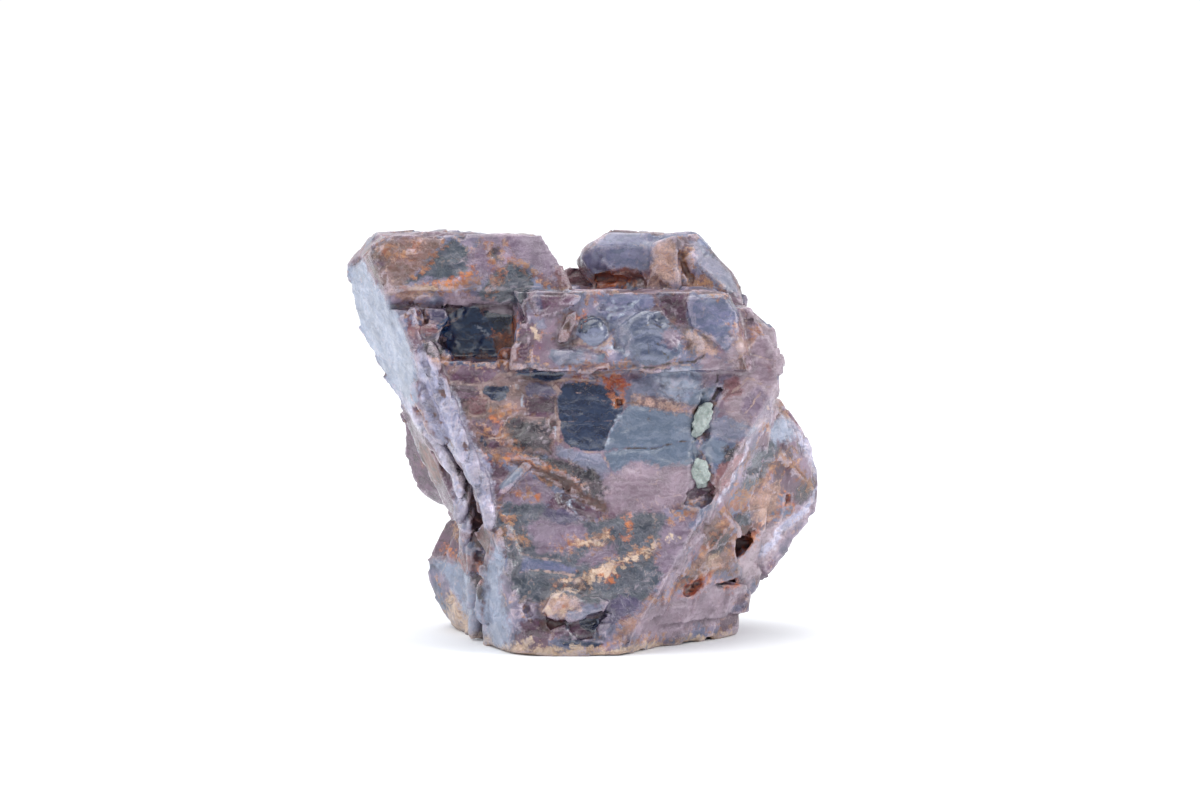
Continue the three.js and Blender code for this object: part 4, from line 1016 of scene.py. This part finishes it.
def makeSpinel():
    # spinel, grown and unpolished: glassy faces, cloudy within, iron stain in the cracks and a frosted flank
    # partly painted as sheen; painted highlights and glints on edges and rims, painted shade in creases and
    # hollows
    material = bpy.data.materials.new("glassyGrownSpinel")
    material.use_nodes = True
    tree = material.node_tree
    shader = tree.nodes["Principled BSDF"]
    where = addNode(tree, "TexCoord")
    mm = addNode(tree, "Mapping", {"Scale": perMillimetre}, {"Vector": where.outputs["Object"]}).outputs[0]
    found = {}               # every pattern by its name
    for name, scale, detail, rough in spinelFinish["clouds"]:
        cloud = addNode(tree, "TexNoise", {"Scale": scale, "Detail": detail, "Roughness": rough},
                        {"Vector": mm})
        found[name], found[name + "Colour"] = cloud.outputs["Fac"], cloud.outputs["Color"]
    # growth cells with bent walls; each is a small flat face with a tilt of its own
    bend = mm
    for name, amount in spinelFinish["bends"]:
        bend = addNode(tree, "VectorMath", {"operation": "MULTIPLY_ADD", 1: (amount, amount, amount)},
                       {0: found[name + "Colour"], 2: bend}).outputs[0]
    for walls, leans, red, size in spinelFinish["cells"]:
        cell = addNode(tree, "TexVoronoi", {"Scale": 1 / size}, {"Vector": bend})
        edge = addNode(tree, "TexVoronoi", {"feature": "DISTANCE_TO_EDGE", "Scale": 1 / size},
                       {"Vector": bend})
        away = addNode(tree, "VectorMath", {"operation": "SUBTRACT"}, {0: bend, 1: cell.outputs["Position"]})
        lean = addNode(tree, "VectorMath", {"operation": "SUBTRACT", 1: (0.5, 0.5, 0.5)},
                       {0: cell.outputs["Color"]})
        tilt = addNode(tree, "VectorMath", {"operation": "DOT_PRODUCT"},
                       {0: away.outputs[0], 1: lean.outputs[0]})
        tone = addNode(tree, "SeparateColor", {}, {0: cell.outputs["Color"]})
        found.update({walls: edge.outputs["Distance"], leans: tilt.outputs["Value"], red: tone.outputs[0]})
    slant = (0, math.radians(spinelFinish["streakSlant"]), 0)
    leaning = addNode(tree, "Mapping", {"Rotation": slant, "Scale": spinelFinish["streakStretch"]},
                      {"Vector": bend})
    for name, scale, detail, rough in spinelFinish["streaks"]:
        found[name] = addNode(tree, "TexNoise", {"Scale": scale, "Detail": detail, "Roughness": rough},
                              {"Vector": leaning.outputs[0]}).outputs["Fac"]
    dots = addNode(tree, "TexVoronoi", {"Scale": spinelFinish["dotsPerMm"]}, {"Vector": mm})
    dotTone = addNode(tree, "SeparateColor", {}, {0: dots.outputs["Color"]})
    found["dots"], found["dotRed"], found["dotGreen"] = dots.outputs["Distance"], *dotTone.outputs[:2]
    for name in ("proudFine", "proudBroad", "patchTone"):
        found[name] = addNode(tree, "Attribute", {"attribute_name": name}).outputs["Fac"]
    # iron stain is thickest near the cell walls
    reach, thicker = spinelFinish["nearWall"]
    nearWall = addNode(tree, "MapRange", {"interpolation_type": "SMOOTHSTEP", "From Min": 0.0,
                       "From Max": reach, "To Min": thicker, "To Max": 0.0}, {"Value": found["walls"]})
    level = addNode(tree, "Math", {"operation": "ADD"}, {0: found["small"], 1: nearWall.outputs["Result"]})
    found["stainLevel"] = addNode(tree, "Math", {"operation": "MULTIPLY_ADD", 1: spinelFinish["broadStain"]},
                                  {0: found["broad"], 2: level.outputs[0]}).outputs[0]
    for name, source, low, high, atLow, atHigh in spinelFinish["steps"]:
        step = addNode(tree, "MapRange", {"interpolation_type": "SMOOTHSTEP", "From Min": low,
                       "From Max": high, "To Min": atLow, "To Max": atHigh}, {"Value": found[source]})
        found[name] = step.outputs["Result"]
    drift = addNode(tree, "Math", {"operation": "ADD", "use_clamp": True},
                    {0: found["drift"], 1: found["patchTone"]})
    found["drift"] = drift.outputs[0]

    # the ground runs through its colours by growth cell in places and by cloud in others
    byCloud = addNode(tree, "MapRange", {"From Min": 0.3, "From Max": 0.7, "To Min": 0.35, "To Max": 0.65},
                      {"Value": found["broad"]}).outputs["Result"]
    ground = addNode(tree, "Mix", {"data_type": "FLOAT"}, {0: byCloud, 2: found["red"], 3: found["middle"]})
    groundRamp = addNode(tree, "ValToRGB", {}, {"Fac": ground.outputs[0]})
    stops = groundRamp.color_ramp.elements
    while len(stops) < len(spinelFinish["ground"]):
        stops.new(0.5)
    for stop, (at, hexColour) in zip(stops, spinelFinish["ground"]):
        stop.position = at
        stop.color = toLinear(hexColour)
    first, second = spinelFinish["stainColours"]
    stained = addNode(tree, "Mix", {"data_type": "RGBA", 6: toLinear(first), 7: toLinear(second)},
                      {0: found["half"]})
    amount = addNode(tree, "Math", {"operation": "MULTIPLY", 1: spinelFinish["stainStrength"]},
                     {0: found["stain"]})
    colour = addNode(tree, "Mix", {"data_type": "RGBA"},
                     {0: amount.outputs[0], 6: groundRamp.outputs["Color"], 7: stained.outputs[2]}).outputs[2]
    # red carries the roughness and green how clean the patch is
    state = addNode(tree, "Mix", {"data_type": "RGBA", 6: (0.3, 0.1, 0, 1), 7: (0.5, 0.0, 0, 1)},
                    {0: amount.outputs[0]}).outputs[2]
    centred = addNode(tree, "Math", {"operation": "SUBTRACT", 1: 0.5}, {0: found["small"]}).outputs[0]
    for name, first, second, edge, soft, rough, clean in spinelFinish["layers"]:
        field = addNode(tree, "Attribute", {"attribute_name": name}).outputs["Fac"]
        field = addNode(tree, "Math", {"operation": "MULTIPLY_ADD", 1: edge * spinelFinish["edgeWander"]},
                        {0: centred, 2: field})
        mask = addNode(tree, "MapRange", {"interpolation_type": "SMOOTHSTEP", "From Min": -soft,
                       "From Max": soft}, {"Value": field.outputs[0]}).outputs["Result"]
        if name in spinelFinish["broken"]:
            parts = found[spinelFinish["broken"][name]]
            mask = addNode(tree, "Math", {"operation": "MULTIPLY"}, {0: mask, 1: parts}).outputs[0]
        tint = addNode(tree, "Mix", {"data_type": "RGBA", 6: toLinear(first), 7: toLinear(second)},
                       {0: found["drift"]}).outputs[2]
        colour = addNode(tree, "Mix", {"data_type": "RGBA"}, {0: mask, 6: colour, 7: tint}).outputs[2]
        state = addNode(tree, "Mix", {"data_type": "RGBA", 7: (rough, clean, 0, 1)},
                        {0: mask, 6: state}).outputs[2]
    state = addNode(tree, "SeparateColor", {}, {0: state})
    marked = addNode(tree, "Math", {"operation": "SUBTRACT", 0: 1.0}, {1: state.outputs[1]}).outputs[0]
    for masks, strength, first, second, by in spinelFinish["marks"]:
        mask = addNode(tree, "Math", {"operation": "MULTIPLY", 1: strength}, {0: marked}).outputs[0]
        for name in masks:
            mask = addNode(tree, "Math", {"operation": "MULTIPLY"}, {0: mask, 1: found[name]}).outputs[0]
        tint = addNode(tree, "Mix", {"data_type": "RGBA", 6: toLinear(first), 7: toLinear(second)},
                       {0: found[by]}).outputs[2]
        colour = addNode(tree, "Mix", {"data_type": "RGBA"}, {0: mask, 6: colour, 7: tint}).outputs[2]
    # cloudy change of depth inside the stone
    for name in ("cloudy", "speckled", "cellLight"):
        depth = addNode(tree, "Mix", {"data_type": "FLOAT", 2: 1.0}, {0: marked, 3: found[name]}).outputs[0]
        colour = addNode(tree, "VectorMath", {"operation": "SCALE"}, {0: colour, "Scale": depth}).outputs[0]
    tree.links.new(colour, shader.inputs["Base Color"])
    tree.links.new(state.outputs[0], shader.inputs["Roughness"])
    shader.inputs["IOR"].default_value = spinelFinish["ior"]
    shader.inputs["Coat Weight"].default_value = spinelFinish["coat"]
    shader.inputs["Coat Roughness"].default_value = spinelFinish["coatRoughness"]

    (name, share), *others = spinelFinish["relief"]
    height = addNode(tree, "Math", {"operation": "MULTIPLY", 1: share}, {0: found[name]}).outputs[0]
    for name, share in others:
        height = addNode(tree, "Math", {"operation": "MULTIPLY_ADD", 1: share},
                         {0: found[name], 2: height}).outputs[0]
    marks, clean = spinelFinish["reliefStrength"]
    strength = addNode(tree, "MapRange", {"From Min": 0.0, "From Max": 1.0, "To Min": marks, "To Max": clean},
                       {"Value": state.outputs[1]})
    lift = addNode(tree, "Bump", {"Distance": spinelFinish["reliefDepth"]},
                   {"Height": height, "Strength": strength.outputs["Result"]})
    tree.links.new(lift.outputs["Normal"], shader.inputs["Normal"])
    print("spinel material made:", len(tree.nodes), "nodes")
    return material


grainFinish = {
    "colours": ("87928f", "acb5b3"),
    "grit": "b08a5e",
    "roughness": (0.35, 0.6),
}


def makeGreenGrain():
    # pale green secondary mineral, waxy and a little translucent, chalky where it is chipped
    material = bpy.data.materials.new("waxyGreenGrain")
    material.use_nodes = True
    tree = material.node_tree
    shader = tree.nodes["Principled BSDF"]
    where = addNode(tree, "TexCoord")
    mm = addNode(tree, "Mapping", {"Scale": perMillimetre}, {"Vector": where.outputs["Object"]}).outputs[0]
    cloud = addNode(tree, "TexNoise", {"Scale": 1.6, "Detail": 5, "Roughness": 0.6}, {"Vector": mm})
    grit = addNode(tree, "TexNoise", {"Scale": 8.0, "Detail": 4, "Roughness": 0.6}, {"Vector": mm})
    patch = addNode(tree, "MapRange", {"From Min": 0.38, "From Max": 0.62}, {"Value": cloud.outputs["Fac"]})
    first, second = grainFinish["colours"]
    wax = addNode(tree, "Mix", {"data_type": "RGBA", 6: toLinear(first), 7: toLinear(second)},
                  {0: patch.outputs["Result"]})
    speck = addNode(tree, "MapRange", {"From Min": 0.62, "From Max": 0.72, "To Max": 0.7},
                    {"Value": grit.outputs["Fac"]})
    colour = addNode(tree, "Mix", {"data_type": "RGBA", 7: toLinear(grainFinish["grit"])},
                     {0: speck.outputs["Result"], 6: wax.outputs[2]})
    low, high = grainFinish["roughness"]
    rough = addNode(tree, "MapRange", {"From Min": 0.3, "From Max": 0.7, "To Min": low, "To Max": high},
                    {"Value": grit.outputs["Fac"]})
    tree.links.new(colour.outputs[2], shader.inputs["Base Color"])
    tree.links.new(rough.outputs["Result"], shader.inputs["Roughness"])
    shader.inputs["Subsurface Weight"].default_value = 0.15
    shader.inputs["Subsurface Radius"].default_value = (0.0006, 0.0009, 0.0007)
    lift = addNode(tree, "Bump", {"Strength": 0.4, "Distance": 0.0001}, {"Height": grit.outputs["Fac"]})
    tree.links.new(lift.outputs["Normal"], shader.inputs["Normal"])
    return material


def finishPiece(piece, material, node):
    piece.data.materials.append(material)
    piece.data.transform(Matrix.Translation(frontFoot) @ Matrix.Scale(1 / modelScale, 4))
    pick(piece)
    bpy.ops.object.shade_smooth()
    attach(piece, "root")
    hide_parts(node)


finishPiece(cluster, makeSpinel(), "spinel_crystal")
greenGrain = makeGreenGrain()
finishPiece(grainUpper, greenGrain, "green_grain_upper")
finishPiece(grainLower, greenGrain, "green_grain_lower")
print("pieces finished")

# Floor, light and camera.
stageSettings = {
    "cameraAt": (0, -333, 48),
    "pitch": 3.8,
    "lens": 100.0,
    "farLight": 1.05,      # the white room behind and above
    "nearLight": 0.33,     # the dimmer side that the front faces
    "key": 1.7,
    "keyAngle": 60,
    # soft boxes: place in mm, size in mm, power in watts
    "boxes": [
        ((-520, -480, 520), (420, 600), 1.5),
        ((620, -260, 420), (300, 600), 2.6),
        ((60, -620, 700), (700, 220), 1.0),
    ],
}


def buildStage():
    deselectAll()
    bpy.ops.mesh.primitive_plane_add(size=6.0, location=(0, 0, 0))
    floor = bpy.context.object
    floor.name = "studioFloor"
    paint = bpy.data.materials.new("matteWhiteFloor")
    paint.use_nodes = True
    paint.node_tree.nodes["Principled BSDF"].inputs["Base Color"].default_value = toLinear("f3f6fa")
    paint.node_tree.nodes["Principled BSDF"].inputs["Roughness"].default_value = 0.7
    floor.data.materials.append(paint)
    world = bpy.data.worlds.new("whiteRoom")
    bpy.context.scene.world = world
    world.use_nodes = True
    tree = world.node_tree
    backing = tree.nodes["Background"]
    side = addNode(tree, "SeparateXYZ", {}, {0: addNode(tree, "TexCoord").outputs["Generated"]})
    strength = addNode(tree, "MapRange", {"interpolation_type": "SMOOTHSTEP", "From Min": -0.75,
                       "From Max": 0.15, "To Min": stageSettings["nearLight"],
                       "To Max": stageSettings["farLight"]}, {"Value": side.outputs[1]})
    tree.links.new(strength.outputs["Result"], backing.inputs["Strength"])
    backing.inputs["Color"].default_value = (1, 1, 1, 1)
    key = bpy.data.objects.new("softKey", bpy.data.lights.new("softKey", "SUN"))
    key.data.energy = stageSettings["key"]
    key.data.angle = math.radians(stageSettings["keyAngle"])
    key.rotation_euler = (math.radians(-12), math.radians(-16), 0)
    bpy.context.scene.collection.objects.link(key)
    for at, size, power in stageSettings["boxes"]:
        box = bpy.data.objects.new("softBox", bpy.data.lights.new("softBox", "AREA"))
        box.data.shape = "RECTANGLE"
        box.data.size, box.data.size_y = size[0] / modelScale, size[1] / modelScale
        box.data.energy = power
        box.location = place(*at)
        box.rotation_euler = (place(0, 10, 20) - box.location).to_track_quat("-Z", "Y").to_euler()
        bpy.context.scene.collection.objects.link(box)
    camera = bpy.data.objects.new("camera", bpy.data.cameras.new("camera"))
    bpy.context.scene.collection.objects.link(camera)
    camera.location = place(*stageSettings["cameraAt"])
    camera.rotation_euler = (math.radians(90 - stageSettings["pitch"]), 0, 0)
    camera.data.lens = stageSettings["lens"]
    camera.data.sensor_width = 36.0
    camera.data.clip_start = 0.01
    bpy.context.scene.camera = camera
    bpy.context.scene.view_settings.view_transform = "Standard"


buildStage()
